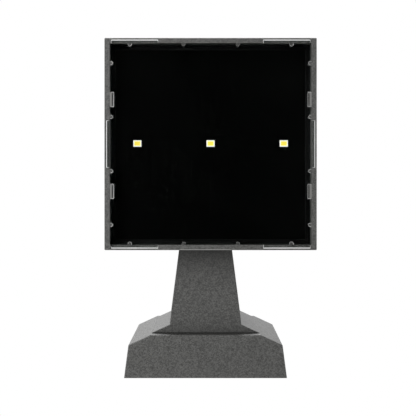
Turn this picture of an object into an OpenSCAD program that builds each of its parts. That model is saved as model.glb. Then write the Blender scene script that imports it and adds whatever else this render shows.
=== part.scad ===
// Solar wall light: a faceted wall base, a tapered arm and a square head.
// The head carries the solar panel on top and three LEDs behind a clear cover below.
// Millimetres. Origin at the centre of the face on the wall. +Z is up, X is sideways, and
// the light stands out towards -Y. A "d" value is a distance out from the wall, y = -d.

/* [Base] */
// Width of the base where it meets the wall
base_w = 70.2; // [66:0.1:84]
// Height of the base up the wall
base_h = 70; // [66:0.5:90]
// Depth of the leaning side walls, out from the wall
base_side_d = 14.2; // [13.6:0.1:18]
// Depth at which the base ends and the arm's foot begins
base_d = 18.5; // [18.2:0.1:21]
// Lean of the side walls, in degrees
base_lean = 7.5; // [4:0.5:9]
// Slope of the shoulders, in degrees
shoulder_angle = 24.7; // [22:0.1:28]
// Ledge left on the base above and below the arm's foot
ledge_h = 6; // [3:0.5:8]
// Wall thickness of the base
base_wall = 2.2; // [1.8:0.1:2.6]

/* [Arm] */
// Width of the arm where it leaves the foot
arm_root_w = 31.2; // [29:0.1:34]
// Width of the arm at the waist
arm_waist_w = 30; // [28:0.1:33]
// Distance of the waist from the wall
arm_waist_d = 28.2; // [27:0.1:34]
// Width of the arm at the head
arm_tip_w = 23; // [21:0.1:27]
// Height of the arm at the head
arm_tip_h = 16.5; // [13:0.5:16.5]
// Wall thickness of the arm
arm_wall = 2.2; // [1.8:0.1:2.6]

/* [Head] */
// Width and length of the square head
head_w = 90; // [88:0.5:120]
// Thickness of the head, from the rim to the panel
head_t = 34; // [34:0.5:42]
// Distance from the wall to the head's back
head_back_d = 55.5; // [48:0.5:75]
// Sideways offset of the head on the arm
head_x = 2.2; // [0:0.1:4]
// How far the rim hangs below the arm
rim_drop = 13; // [10:0.5:14]
// Width of the rim, which is the head's wall
rim_w = 2.2; // [2:0.1:2.6]
// Height of the bevel round the head's top
bevel_h = 4; // [2:0.1:4.5]
// Width of the bevel round the head's top
bevel_w = 2.6; // [1:0.1:3]
// Thickness of the deck under the panel
deck_t = 2; // [1.6:0.1:2.4]

/* [Clear cover] */
// Thickness of the cover's face
cover_t = 2; // [1.5:0.1:2.5]
// Thickness of the cover's skirt
skirt_t = 2; // [1.9:0.1:2.4]
// Depth of the LED board's face behind the rim
board_depth = 10.4; // [8:0.1:11]
// How far the cover lies behind the rim
cover_sink = 0.2; // [0.1:0.1:0.6]
// Length of each tab let into the rim
tab_l = 20; // [12:0.5:24]
// Rim left outside each tab
tab_land = 0.7; // [0.5:0.1:0.9]
// Thickness of the tabs
tab_t = 1.6; // [1:0.1:1.8]
// Distance of a front or back tab's middle from the cover's middle
tab_offset = 32.3; // [28:0.1:33]
// Radius of the round-ended ribs that centre the cover
rib_r = 0.6; // [0.5:0.1:1]
// Distance of the inner ribs from the middle of a side
rib_inner = 11.5; // [11.3:0.1:13]
// Distance of the outer ribs from the middle of a side
rib_outer = 34.3; // [26:0.1:36]
// Length of each catch on the left and right walls
catch_l = 5.8; // [4:0.1:8]
// Depth of each catch, in from the wall
catch_d = 1.5; // [1.2:0.1:1.7]
// Distance of a catch from the middle of its side
catch_offset = 19.5; // [18:0.1:22]
// Thickness of the seal under the cover's skirt
seal_t = 0.8; // [0.5:0.1:1.2]

/* [Lamp board] */
// Thickness of the circuit boards
board_t = 1.6; // [1:0.1:1.6]
// Spacing of the LEDs
led_pitch = 31.5; // [20:0.5:36]
// Distance of the LED row from the head's middle, away from the wall
led_out = 0.5; // [-4:0.1:4]
// Length of an LED package
led_l = 3.5; // [3:0.1:5]
// Width of an LED package
led_w = 2.8; // [2.4:0.1:4]
// Thickness of an LED package
led_t = 0.7; // [0.5:0.1:1.2]
// Depth of the cup in an LED package
led_cup_d = 0.45; // [0.2:0.05:0.45]

/* [Solar panel] */
// Width and length of the panel
panel_w = 80; // [70:0.5:82]
// Thickness of the panel's cover glass
glass_t = 1.6; // [1.2:0.1:2]
// Thickness of the panel's backing board
back_t = 1; // [0.6:0.1:1.2]
// Thickness of a solar cell
cell_t = 0.25; // [0.15:0.05:0.4]
// Number of cell strips
cell_count = 11; // [4:1:12]
// Gap between the cell strips
cell_gap = 0.5; // [0.3:0.1:1]
// Width of the metal ribbon along each cell strip
ribbon_w = 1; // [0.6:0.1:1.6]
// Thickness of the ribbons
ribbon_t = 0.15; // [0.1:0.05:0.3]
// Bare border round the cells
cell_border = 2; // [1.5:0.1:4]
// Thickness of the adhesive tape under the panel
tape_t = 0.4; // [0.3:0.1:0.6]
// Width of the adhesive tape
tape_w = 8; // [4:0.5:10]

/* [Battery and driver] */
// Radius of the battery cell
cell_r = 7; // [5:0.1:7]
// Length of the battery cell with its button
battery_l = 50.4; // [44:0.1:52]
// Distance of the battery from the head's middle, away from the wall
battery_out = 14; // [12:0.5:16]
// Length of the driver board
driver_l = 34; // [34:0.5:38]
// Width of the driver board
driver_w = 20; // [19:0.5:21]
// Height of the posts that carry the driver board
post_h = 4; // [3:0.5:4.5]
// Radius of the leads over their insulation
lead_r = 0.6; // [0.4:0.05:0.7]

/* [Switch] */
// Distance of the push button from the head's middle
button_x = 28; // [26:0.5:30]
// Radius of the push button
button_r = 4; // [3:0.1:4.5]
// Travel of the push button
button_travel = 1.5; // [0.8:0.1:1.8]
// Width of the switch body
switch_w = 8.5; // [7:0.1:9]
// Length of the switch body
switch_l = 7; // [6:0.1:8]

/* [Fasteners] */
// Radius of the screws' shanks
screw_r = 1.5; // [1.2:0.05:1.6]
// Radius of the screws' heads
screw_head_r = 2.8; // [2.4:0.1:3]
// Thickness of the screws' heads
screw_head_t = 1.8; // [1.2:0.1:2]
// Radius of the wall-screw holes
wall_hole_r = 2.25; // [1.8:0.05:2.6]
// Spacing of the two wall-screw holes
wall_hole_pitch = 44; // [36:0.5:46]
// Thickness of the wall plate
plate_t = 2.5; // [2:0.1:2.8]
// Depth of the pockets in the wall plate's back
pocket_d = 0.9; // [0.4:0.1:1.2]
// Width of the land left round and between the pockets
pocket_land = 5; // [3:0.5:8]

/* [Hidden] */
$fn = 48;

// Clearances between fitted pieces
slip = 0.3;
snug = 0.15;
thread_gap = 0.05;
pass_gap = 0.2;
// Overcut that carries a cut past a face
over = 1;
// Depth that a boss or a lug is sunk into its wall, and overlap of the parts of one turned piece
sunk = 0.5;
merge = 0.2;
// Room left below a screw's tip, and skin left past the end of its pilot
tip_room = 1;
pilot_skin = 0.5;

// Colours
shell_grey = [0.30, 0.30, 0.30];
inner_black = [0.05, 0.05, 0.05];
steel = [0.72, 0.72, 0.70];

// Levels of the head, from the rim up
arm_under_z = -(base_h / 2 - ledge_h);
rim_z = arm_under_z - rim_drop;
head_top_z = rim_z + head_t;
board_face_z = rim_z + board_depth;
board_back_z = board_face_z + board_t;
recess_z = head_top_z - glass_t - back_t - tape_t;
deck_z = recess_z - deck_t;
skirt_top_z = board_face_z - seal_t;
cover_z = rim_z + cover_sink;

// Plan sizes of the head
head_r = head_w / 2;
head_mid_d = head_back_d + head_r;
mouth_r = head_r - rim_w;
recess_r = panel_w / 2 + slip;
cover_r = mouth_r - snug;
skirt_r = cover_r - skirt_t;

// Base and arm outlines
base_x1 = base_w / 2 - base_side_d * tan(base_lean);
base_x2 = base_x1 - (base_d - base_side_d) / tan(shoulder_angle);
foot_top_d = base_d + (base_x2 - arm_root_w / 2) * tan(shoulder_angle);
foot_z = base_h / 2 - ledge_h;
arm_tip_z = arm_under_z + arm_tip_h;
tip_wall = 7;

// Extrusions of a 2D shape: (x, d) along z, (d, z) along x, and (x, z) outwards
module along_z(z0, z1) {
    translate([0, 0, z0]) linear_extrude(z1 - z0) mirror([0, 1]) children();
}
module along_x(x0, x1) {
    translate([x1, 0, 0]) rotate([0, 0, -90]) rotate([90, 0, 0]) linear_extrude(x1 - x0) children();
}

// A box and a rod, placed by their distances out from the wall
module box_d(x0, x1, d0, d1, z0, z1) {
    translate([x0, -d1, z0]) cube([x1 - x0, d1 - d0, z1 - z0]);
}
module rod_d(x, z, d0, d1, r) {
    translate([x, -d0, z]) rotate([90, 0, 0]) cylinder(r = r, h = d1 - d0);
}

// Head frame: middle of the head in plan, x sideways, v away from the wall
module in_head() {
    translate([head_x, -head_mid_d, 0]) children();
}
module slab(r, z0, z1) {
    translate([-r, -r, z0]) cube([2 * r, 2 * r, z1 - z0]);
}
module box_v(x0, x1, v0, v1, z0, z1) {
    translate([x0, -v1, z0]) cube([x1 - x0, v1 - v0, z1 - z0]);
}
module rod_z(x, v, z0, z1, r) {
    translate([x, -v, z0]) cylinder(r = r, h = z1 - z0);
}

// Outline of the base, set in by a wall thickness, from the wall to its top
function base_points(inset, start_d) =
    let (turn = cos(base_lean + shoulder_angle),
         x0 = base_w / 2 - inset / cos(base_lean),
         x1 = base_x1 - inset * (cos(shoulder_angle) - sin(base_lean)) / turn,
         d1 = base_side_d - inset * (cos(base_lean) - sin(shoulder_angle)) / turn,
         d2 = base_d - inset,
         x2 = x1 - (d2 - d1) / tan(shoulder_angle))
    [[-x0, start_d], [-x1, d1], [-x2, d2], [x2, d2], [x1, d1], [x0, start_d]];

// Half width of the wall plate, and its half height
plate_x = base_w / 2 - base_wall / cos(base_lean) - plate_t * tan(base_lean) - slip;
plate_z = base_h / 2 - base_wall - slip;

// Lock screw: down through the base's top wall into the plate's lug
lock_out = 5;
lock_boss_l = 4.8;
lock_d = plate_t + lock_out;
lock_boss_z = base_h / 2 - base_wall - lock_boss_l;
lug_l = 8;
lug_r = 4.5;

// Hooks at the foot of the plate, and the catches in the base that they hold
hook_x = 15;
hook_w = 8;
catch_gap = 0.3;
base_catch_h = 2.6;
base_catch_t = 2.5;
hook_t = 2;
hook_top_z = -base_h / 2 + base_wall + base_catch_h + catch_gap + hook_t;

// One quarter of the plate's back, less its lands and the pad round the screw hole
module back_pocket() {
    difference() {
        box_d(pocket_land / 2, plate_x - pocket_land, -over, pocket_d, pocket_land / 2,
              plate_z - pocket_land);
        rod_d(wall_hole_pitch / 2, 0, -2 * over, pocket_d + over, wall_hole_r + pocket_land);
    }
}

module wall_plate() {
    catch_out = plate_t + catch_gap + base_catch_t + catch_gap;
    color(shell_grey) difference() {
        union() {
            box_d(-plate_x, plate_x, 0, plate_t, -plate_z, plate_z);
            // Lug for the lock screw
            box_d(-lug_r, lug_r, plate_t - sunk, lock_d + lug_r, lock_boss_z - lug_l,
                  lock_boss_z - snug);
            for (side = [-1, 1]) {
                x0 = side * hook_x - hook_w / 2;
                box_d(x0, x0 + hook_w, plate_t - sunk, catch_out + hook_t,
                      hook_top_z - hook_t, hook_top_z);
                box_d(x0, x0 + hook_w, catch_out, catch_out + hook_t, -plate_z, hook_top_z);
            }
        }
        for (side = [-1, 1])
            rod_d(side * wall_hole_pitch / 2, 0, -over, plate_t + over, wall_hole_r);
        for (mx = [0, 1])
            for (mz = [0, 1])
                mirror([mx, 0, 0]) mirror([0, 0, mz]) back_pocket();
        translate([0, -lock_d, lock_boss_z - lug_l - over])
            cylinder(r = screw_r + thread_gap, h = lug_l + 2 * over);
    }
}

module base_housing() {
    color(shell_grey) difference() {
        union() {
            difference() {
                along_z(-base_h / 2, base_h / 2) polygon(base_points(0, 0));
                along_z(-base_h / 2 + base_wall, base_h / 2 - base_wall)
                    polygon(base_points(base_wall, -over));
            }
            // Boss under the lock screw's head
            translate([0, -lock_d, lock_boss_z])
                cylinder(r = lug_r, h = base_h / 2 - base_wall / 2 - lock_boss_z);
            for (side = [-1, 1]) {
                x0 = side * hook_x - hook_w / 2;
                box_d(x0, x0 + hook_w, plate_t + catch_gap, plate_t + catch_gap + base_catch_t,
                      -base_h / 2 + base_wall / 2, -base_h / 2 + base_wall + base_catch_h);
            }
        }
        translate([0, -lock_d, lock_boss_z - over])
            cylinder(r = screw_r + pass_gap, h = base_h / 2 - lock_boss_z + 2 * over);
        translate([0, -lock_d, base_h / 2 - screw_head_t - pass_gap])
            cylinder(r = screw_head_r + pass_gap, h = screw_head_t + over);
        arm_screw_places() rod_d(0, 0, base_d - base_wall - over, base_d + over, screw_r + pass_gap);
    }
}

// A pan-head screw, its head's underside at z = 0 and its shank pointing down
module screw(shank) {
    slot_l = screw_head_r * 1.2;
    slot_w = 0.6;
    translate([0, 0, -shank]) cylinder(r = screw_r, h = shank + merge);
    difference() {
        cylinder(r = screw_head_r, h = screw_head_t);
        for (turn = [0, 90])
            rotate([0, 0, turn])
                translate([-slot_l / 2, -slot_w / 2, screw_head_t / 2])
                    cube([slot_l, slot_w, screw_head_t]);
    }
}

module lock_screw() {
    head_z = base_h / 2 - screw_head_t - pass_gap;
    color(steel) translate([0, -lock_d, head_z]) screw(head_z - lock_boss_z + lug_l - tip_room);
}

// Screws from inside the base into the arm's bosses
arm_boss_wall = 1.7;
arm_boss_in = 0.7;
arm_boss_r = screw_r + arm_boss_wall;
arm_boss_x = arm_root_w / 2 - arm_wall - arm_boss_r + arm_boss_in;
arm_boss_l = 9;
arm_boss_z = [-19, 10];
module arm_screw_places() {
    for (side = [-1, 1])
        for (z = arm_boss_z)
            translate([side * arm_boss_x, 0, z]) children();
}

module arm_screws() {
    color(steel) arm_screw_places()
        translate([0, -(base_d - base_wall), 0]) rotate([-90, 0, 0])
            screw(base_wall + arm_boss_l - tip_room);
}

// Arm in plan and from the side, set in by its wall
function arm_plan(inset, start_d, end_d) =
    let (tip = arm_tip_w / 2 - inset, waist = arm_waist_w / 2 - inset, root = arm_root_w / 2 - inset,
         run = (end_d - arm_waist_d) / (head_back_d - arm_waist_d),
         end_x = waist + (tip - waist) * run)
    [[-root, start_d], [-root, foot_top_d], [-waist, arm_waist_d], [-end_x, end_d],
     [end_x, end_d], [waist, arm_waist_d], [root, foot_top_d], [root, start_d]];
arm_pitch = atan((foot_z - arm_tip_z) / (head_back_d - foot_top_d));
function arm_side(inset, start_d, end_d) =
    let (drop = inset / cos(arm_pitch),
         run = (end_d - foot_top_d) / (head_back_d - foot_top_d),
         end_z = foot_z + (arm_tip_z - foot_z) * run - drop)
    [[start_d, arm_under_z + inset], [end_d, arm_under_z + inset], [end_d, end_z],
     [foot_top_d, foot_z - drop], [start_d, foot_z - drop]];

// Screws from inside the head into the arm's tip
head_screw_in = 2.6;
head_screw_x = arm_tip_w / 2 - screw_head_r - head_screw_in;
head_screw_z = arm_under_z + arm_tip_h / 2;
head_screw_l = rim_w + tip_wall - tip_room;

module arm() {
    color(shell_grey) difference() {
        union() {
            difference() {
                union() {
                    intersection() {
                        along_z(arm_under_z, foot_z) polygon(arm_plan(0, base_d, head_back_d));
                        along_x(-arm_root_w, arm_root_w) polygon(arm_side(0, base_d, head_back_d));
                    }
                    along_z(-foot_z, foot_z)
                        polygon([[-base_x2, base_d], [-arm_root_w / 2, foot_top_d],
                                 [arm_root_w / 2, foot_top_d], [base_x2, base_d]]);
                }
                intersection() {
                    along_z(arm_under_z, foot_z)
                        polygon(arm_plan(arm_wall, base_d - over, head_back_d - tip_wall));
                    along_x(-arm_root_w, arm_root_w)
                        polygon(arm_side(arm_wall, base_d - over, head_back_d - tip_wall));
                }
            }
            arm_screw_places() rod_d(0, 0, base_d, base_d + arm_boss_l, arm_boss_r);
        }
        arm_screw_places()
            rod_d(0, 0, base_d - over, base_d + arm_boss_l - pilot_skin, screw_r + thread_gap);
        for (side = [-1, 1])
            rod_d(side * head_screw_x, head_screw_z, head_back_d - tip_wall + pilot_skin,
                  head_back_d + over, screw_r + thread_gap);
    }
}

module head_screws() {
    color(steel) for (side = [-1, 1])
        translate([side * head_screw_x, -(head_back_d + rim_w), head_screw_z])
            rotate([90, 0, 0]) screw(head_screw_l);
}

// Tabs of the cover: x, v of the middle, and whether it lies along x
tab_spots = [[-tab_offset, -1, true], [tab_offset, -1, true], [-tab_offset, 1, true],
             [tab_offset, 1, true], [-1, 0, false], [1, 0, false]];
module tabs(grow, z0, z1) {
    out = head_r - tab_land + grow;
    half = tab_l / 2 + grow;
    for (spot = tab_spots)
        if (spot[2])
            box_v(spot[0] - half, spot[0] + half, spot[1] > 0 ? skirt_r : -out,
                  spot[1] > 0 ? out : -skirt_r, z0, z1);
        else
            box_v(spot[0] > 0 ? skirt_r : -out, spot[0] > 0 ? out : -skirt_r, -half, half, z0, z1);
}

// Round-ended ribs, four a side, and slit catches, two on each of the left and right walls
rib_l = 9;
rib_in = 0.5;
rib_root = rim_w / 4;
rib_sides = 24;
catch_h = 6;
catch_shift = 0.6;
catch_slit = 0.4;
catch_lip = 0.25;
slit_end = 0.6;
slit_h = 1.2;
module ribs(r, z0, z1) {
    for (turn = [0:90:270])
        rotate([0, 0, turn])
            for (x = [-rib_outer, -rib_inner, rib_inner, rib_outer])
                translate([x, mouth_r - rib_in, z0]) {
                    cylinder(r = r, h = z1 - z0, $fn = rib_sides);
                    translate([-r, 0, 0]) cube([2 * r, rib_in + rib_root, z1 - z0]);
                }
}
// The part of the tabs' recess that lies outside the mouth, where no rib stands
module outer_tabs(grow) {
    difference() {
        tabs(snug, rim_z - over, cover_z + tab_t + snug);
        slab(mouth_r + grow, rim_z - 2 * over, cover_z + tab_t + 2 * snug);
    }
}
module catches(grow, z0, z1) {
    for (sx = [-1, 1])
        for (sv = [-1, 1])
            translate([sx * mouth_r, catch_shift - sv * catch_offset, (z0 + z1) / 2])
                cube([2 * (catch_d + grow), catch_l + 2 * grow, z1 - z0], center = true);
}

// Switch: a push button in the back wall with its body behind it
button_z = (deck_z + board_back_z) / 2;
gasket_t = 0.8;
ring_w = 1.2;
flange_t = 0.8;
flange_r = button_r + 1.6;
flange_v = -mouth_r + gasket_t + thread_gap;
stem_r = 1.5;
stem_l = 1;
stem_gap = 0.5;
switch_v = flange_v + flange_t + button_travel + stem_gap;
fin_t = 1.5;
fin_x = switch_w / 2 + snug + fin_t / 2;

// Ledge ribs that carry the LED board's back
ledge_rib_w = 3;
ledge_rib_x = button_x - flange_r - ledge_rib_w;
module ledge_ribs() {
    for (turn = [0:90:270])
        rotate([0, 0, turn])
            for (x = [-ledge_rib_x, ledge_rib_x])
                translate([x - ledge_rib_w / 2, mouth_r - ledge_rib_w, board_back_z])
                    cube([ledge_rib_w, ledge_rib_w + rim_w / 2, deck_z - board_back_z + deck_t / 2]);
}

// Battery and driver places
battery_v = battery_out;
driver_x = -4;
driver_v = -20;
post_x = 13;
post_wall = 1.1;
post_r = screw_r + post_wall;
pilot_past = 0.5;
driver_top_z = deck_z - post_h;
driver_face_z = driver_top_z - board_t;
lead_in = 13;
lead_hole_x = -(panel_w / 2 - lead_in);
pad_in = 2;
lead_v = driver_v + driver_w / 2 - 2 * pad_in;
pad_v = driver_v + driver_w / 2 - pad_in;
pad_x = driver_l / 2 - pad_in;
lead_drop = 2;
lead_air = 0.6;
lead_play = 0.7;
lead_gap = 2 * lead_r + lead_air;
lead_hole_r = lead_r + lead_gap / 2 + lead_play;

module head_shell() {
    along_profile = [[-head_r, rim_z], [head_r, rim_z], [head_r, head_top_z - bevel_h],
                     [head_r - bevel_w, head_top_z], [-head_r + bevel_w, head_top_z],
                     [-head_r, head_top_z - bevel_h]];
    intersection() {
        translate([0, head_r, 0]) rotate([90, 0, 0]) linear_extrude(head_w) polygon(along_profile);
        rotate([0, 0, 90]) translate([0, head_r, 0]) rotate([90, 0, 0]) linear_extrude(head_w)
            polygon(along_profile);
    }
}

module head_housing() {
    color(shell_grey) in_head() difference() {
        union() {
            difference() {
                head_shell();
                slab(mouth_r, rim_z - over, deck_z);
                slab(recess_r, recess_z, head_top_z + over);
                tabs(snug, rim_z - over, cover_z + tab_t + snug);
            }
            intersection() {
                slab(mouth_r + rim_w / 2, rim_z, deck_z);
                union() {
                    difference() {
                        ribs(rib_r, rim_z + cover_sink, rim_z + rib_l);
                        outer_tabs(0);
                    }
                    difference() {
                        catches(0, rim_z + cover_sink, rim_z + catch_h);
                        for (sx = [-1, 1])
                            for (sv = [-1, 1])
                                translate([sx * (mouth_r - catch_d + catch_lip + catch_slit / 2),
                                           catch_shift - sv * catch_offset, rim_z])
                                    cube([catch_slit, catch_l - 2 * slit_end, 2 * slit_h],
                                         center = true);
                    }
                }
            }
            ledge_ribs();
            // Posts under the driver board
            for (side = [-1, 1])
                rod_z(driver_x + side * post_x, driver_v, driver_top_z, deck_z + deck_t / 2, post_r);
            // Two fins that hold the switch body
            for (side = [-1, 1])
                box_v(button_x + side * fin_x - fin_t / 2, button_x + side * fin_x + fin_t / 2,
                      switch_v - slip, switch_v + switch_l, button_z - switch_w / 2,
                      deck_z + deck_t / 2);
        }
        // Shallow ring round the push button, so that it lies just below the wall
        translate([button_x, head_r + over, button_z]) rotate([90, 0, 0])
            cylinder(r = button_r + ring_w, h = slip + over);
        // Bore of the push button, holes of the head screws, of the leads and in the posts
        translate([button_x, head_r + over, button_z]) rotate([90, 0, 0])
            cylinder(r = button_r + snug, h = rim_w + 2 * over);
        for (side = [-1, 1])
            translate([side * head_screw_x - head_x, head_r + over, head_screw_z]) rotate([90, 0, 0])
                cylinder(r = screw_r + pass_gap, h = rim_w + 2 * over);
        rod_z(lead_hole_x, lead_v, deck_z - over, recess_z + over, lead_hole_r);
        for (side = [-1, 1])
            rod_z(driver_x + side * post_x, driver_v, driver_top_z - over, deck_z + pilot_past,
                  screw_r + thread_gap);
    }
}

module clear_cover() {
    color([0.85, 0.88, 0.88, 0.35]) in_head() difference() {
        union() {
            slab(cover_r, cover_z, cover_z + cover_t);
            difference() {
                slab(cover_r, cover_z, skirt_top_z);
                slab(skirt_r, cover_z - over, skirt_top_z + over);
            }
            tabs(0, cover_z, cover_z + tab_t);
        }
        difference() {
            ribs(rib_r + snug, cover_z - over, skirt_top_z + over);
            outer_tabs(snug);
        }
        catches(snug, cover_z - over, skirt_top_z + over);
    }
}

module cover_seal() {
    color(inner_black) in_head() difference() {
        slab(cover_r, skirt_top_z, board_face_z);
        slab(skirt_r, skirt_top_z - over, board_face_z + over);
    }
}

module led_board() {
    color(inner_black) in_head() slab(mouth_r - 2 * slip, board_face_z, board_back_z);
}

// One copy at each LED
module at_leds() {
    in_head() for (i = [-1:1]) translate([i * led_pitch, -led_out, board_face_z]) children();
}
led_frame = 0.4;
module led_cup(extra) {
    translate([-led_l / 2 + led_frame, -led_w / 2 + led_frame, -led_t - extra])
        cube([led_l - 2 * led_frame, led_w - 2 * led_frame, led_cup_d + extra]);
}
module led_packages() {
    color("white") at_leds() difference() {
        translate([-led_l / 2, -led_w / 2, -led_t]) cube([led_l, led_w, led_t]);
        led_cup(over);
    }
}
module led_phosphors() {
    color("khaki") at_leds() led_cup(0);
}

// Battery holder on the deck's underside, its contacts and the cell
contact_t = 0.5;
dimple_t = 0.5;
dimple_r = 2;
holder_end = 1.8;
holder_floor = 1.5;
holder_side = 1.2;
holder_play = 0.1;
holder_corner = 4;
holder_side_h = 1;
holder_in = battery_l / 2 + contact_t + dimple_t;
holder_r = cell_r + holder_play;
cell_z = deck_z - holder_floor - cell_r;
contact_w = 10;
contact_in = 0.5;
tail_w = 2.4;
tail_drop = cell_r * 0.6;
tail_z = cell_z - tail_drop;
lead_off = 0.2;
lead_x = holder_in + holder_end + lead_r + lead_off;
tail_x = lead_x + lead_r + lead_off;

module battery_holder() {
    color(inner_black) in_head() difference() {
        box_v(-holder_in - holder_end, holder_in + holder_end, battery_v - holder_r - holder_side,
              battery_v + holder_r + holder_side, cell_z - cell_r, deck_z);
        box_v(-holder_in, holder_in, battery_v - holder_r, battery_v + holder_r,
              cell_z - cell_r - over, deck_z - holder_floor);
        // Long sides stop at half height, so the cell can be lifted out
        box_v(-holder_in + holder_corner, holder_in - holder_corner,
              battery_v - holder_r - holder_side - over, battery_v + holder_r + holder_side + over,
              cell_z - cell_r - over, cell_z - holder_side_h);
        // Slots for the contact tails
        box_v(-tail_x, tail_x, battery_v - tail_w / 2 - snug, battery_v + tail_w / 2 + snug,
              cell_z - cell_r - over, tail_z + contact_t + snug);
    }
}

module battery_cell() {
    nub_l = 1;
    nub_r = cell_r * 0.39;
    color("seagreen") in_head() translate([-battery_l / 2, -battery_v, cell_z]) rotate([0, 90, 0]) {
        cylinder(r = cell_r, h = battery_l - nub_l);
        cylinder(r = nub_r, h = battery_l);
    }
}

module battery_contacts() {
    color(steel) in_head() for (side = [-1, 1])
        translate([side * holder_in, -battery_v, cell_z]) mirror([side > 0 ? 1 : 0, 0, 0]) {
            translate([0, -contact_w / 2, -cell_r + contact_in])
                cube([contact_t, contact_w, 2 * (cell_r - contact_in)]);
            rotate([0, 90, 0]) cylinder(r = dimple_r, h = contact_t + dimple_t);
            translate([holder_in - tail_x, -tail_w / 2, tail_z - cell_z])
                cube([tail_x - holder_in + contact_t / 2, tail_w, contact_t]);
        }
}

module driver_board() {
    color("darkgreen") in_head() difference() {
        box_v(driver_x - driver_l / 2, driver_x + driver_l / 2, driver_v - driver_w / 2,
              driver_v + driver_w / 2, driver_face_z, driver_top_z);
        for (side = [-1, 1])
            rod_z(driver_x + side * post_x, driver_v, driver_face_z - over, driver_top_z + over,
                  screw_r + pass_gap);
    }
}

// Parts on the driver board, below its face: controller, choke, capacitor and diode
chip_l = 5;
chip_w = 3.9;
chip_t = 1.5;
choke_r = 3;
choke_t = 3.5;
cap_r = 2.5;
cap_t = 5;
diode_l = 4;
diode_w = 2;
diode_t = 1.2;
chip_out = 0.5;
diode_out = 1;
module driver_chips() {
    row_v = driver_v - driver_w / 4 - pad_in / 4;
    color(inner_black) in_head() {
        box_v(driver_x - chip_l * 1.5, driver_x - chip_l / 2, driver_v + chip_out,
              driver_v + chip_out + chip_w, driver_face_z - chip_t, driver_face_z);
        rod_z(driver_x - chip_l, row_v, driver_face_z - choke_t, driver_face_z, choke_r);
        rod_z(driver_x + chip_l, row_v, driver_face_z - cap_t, driver_face_z, cap_r);
        box_v(driver_x + diode_out, driver_x + diode_out + diode_l, driver_v, driver_v + diode_w,
              driver_face_z - diode_t, driver_face_z);
    }
}

module driver_screws() {
    color(steel) in_head() for (side = [-1, 1])
        translate([driver_x + side * post_x, -driver_v, driver_face_z]) mirror([0, 0, 1])
            screw(board_t + post_h - pilot_past);
}

tape_in = 1;
tape_r = panel_w / 2 - tape_in;
module panel_tape() {
    color("white") in_head() difference() {
        slab(tape_r, recess_z, recess_z + tape_t);
        slab(tape_r - tape_w, recess_z - over, recess_z + tape_t + over);
    }
}
module panel_back() {
    color("white") in_head() slab(panel_w / 2, recess_z + tape_t, recess_z + tape_t + back_t);
}
cells_z = recess_z + tape_t + back_t;
cells_r = panel_w / 2 - cell_border;
cell_w = (2 * cells_r + cell_gap) / cell_count - cell_gap;
module solar_cells() {
    color("midnightblue") in_head() for (i = [0:cell_count - 1])
        box_v(-cells_r, cells_r, -cells_r + i * (cell_w + cell_gap),
              -cells_r + i * (cell_w + cell_gap) + cell_w, cells_z, cells_z + cell_t);
}
// A ribbon along each strip, joined to the next by a link at alternate ends
link_gap = 0.4;
module cell_ribbons() {
    pitch = cell_w + cell_gap;
    ends = cells_r - link_gap;
    color(steel) in_head() for (i = [0:cell_count - 1]) {
        v = -cells_r + i * pitch + cell_w / 2;
        side = i % 2 == 0 ? 1 : -1;
        box_v(-ends, ends, v - ribbon_w / 2, v + ribbon_w / 2, cells_z + cell_t,
              cells_z + cell_t + ribbon_t);
        if (i < cell_count - 1)
            box_v(side > 0 ? ends - ribbon_w : -ends, side > 0 ? ends : -ends + ribbon_w,
                  v, v + pitch, cells_z + cell_t, cells_z + cell_t + ribbon_t);
    }
}
module panel_glass() {
    color([0.7, 0.8, 0.85, 0.4]) in_head() difference() {
        slab(panel_w / 2, cells_z, cells_z + glass_t);
        slab(cells_r + snug, cells_z - over, cells_z + cell_t + ribbon_t);
    }
}

// A lead: a prism along each straight run, with a ball at each bend
lead_sides = 8;
bend_sides = 16;
bend_r = lead_r * 1.02;
function unit(v) = v / norm(v);
module lead(points) {
    for (i = [0:len(points) - 2])
        let (run = points[i + 1] - points[i], long = norm(run), aim = unit(run))
        translate(points[i])
            rotate([0, acos(aim[2]), atan2(aim[1], aim[0])])
                cylinder(r = lead_r, h = long, $fn = lead_sides);
    for (i = [1:len(points) - 2])
        translate(points[i]) sphere(r = bend_r, $fn = bend_sides);
}

module panel_leads() {
    x = driver_x - pad_x;
    color("firebrick") in_head() for (side = [-1, 1])
        let (y = -(lead_v + side * lead_gap / 2))
        lead([[lead_hole_x, y, recess_z + tape_t], [lead_hole_x, y, deck_z - lead_drop],
              [x, y, deck_z - lead_drop], [x, y, driver_top_z]]);
}
module battery_leads() {
    z = driver_face_z - lead_drop;
    in_head() {
        color("firebrick")
            lead([[lead_x, -battery_v, tail_z + contact_t], [lead_x, -battery_v, z],
                  [lead_x, -pad_v, z], [driver_x + pad_x, -pad_v, z],
                  [driver_x + pad_x, -pad_v, driver_face_z]]);
        color(inner_black)
            lead([[-lead_x, -battery_v, tail_z + contact_t], [-lead_x, -battery_v, z],
                  [-lead_x, -lead_v, z], [driver_x - pad_x, -lead_v, z],
                  [driver_x - pad_x, -lead_v, driver_face_z]]);
    }
}
module led_leads() {
    z = (driver_face_z + board_back_z) / 2;
    y = -pad_v - 3 * lead_drop;
    color("firebrick") in_head() for (side = [-1, 1])
        let (x = driver_x + pad_x / 2 + side * lead_gap / 2)
        lead([[x, -pad_v, driver_face_z], [x, -pad_v, z], [x, y, z], [x, y, board_back_z]]);
}
module switch_leads() {
    x = driver_x + pad_x;
    back_y = -(switch_v + switch_l);
    color(inner_black) in_head() for (side = [-1, 1])
        let (y = back_y - 2 * lead_drop - side * lead_gap / 2, x0 = button_x + side * lead_gap / 2)
        lead([[x0, back_y, button_z], [x0, y, button_z], [x, y, button_z], [x, y, driver_face_z]]);
}

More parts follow.
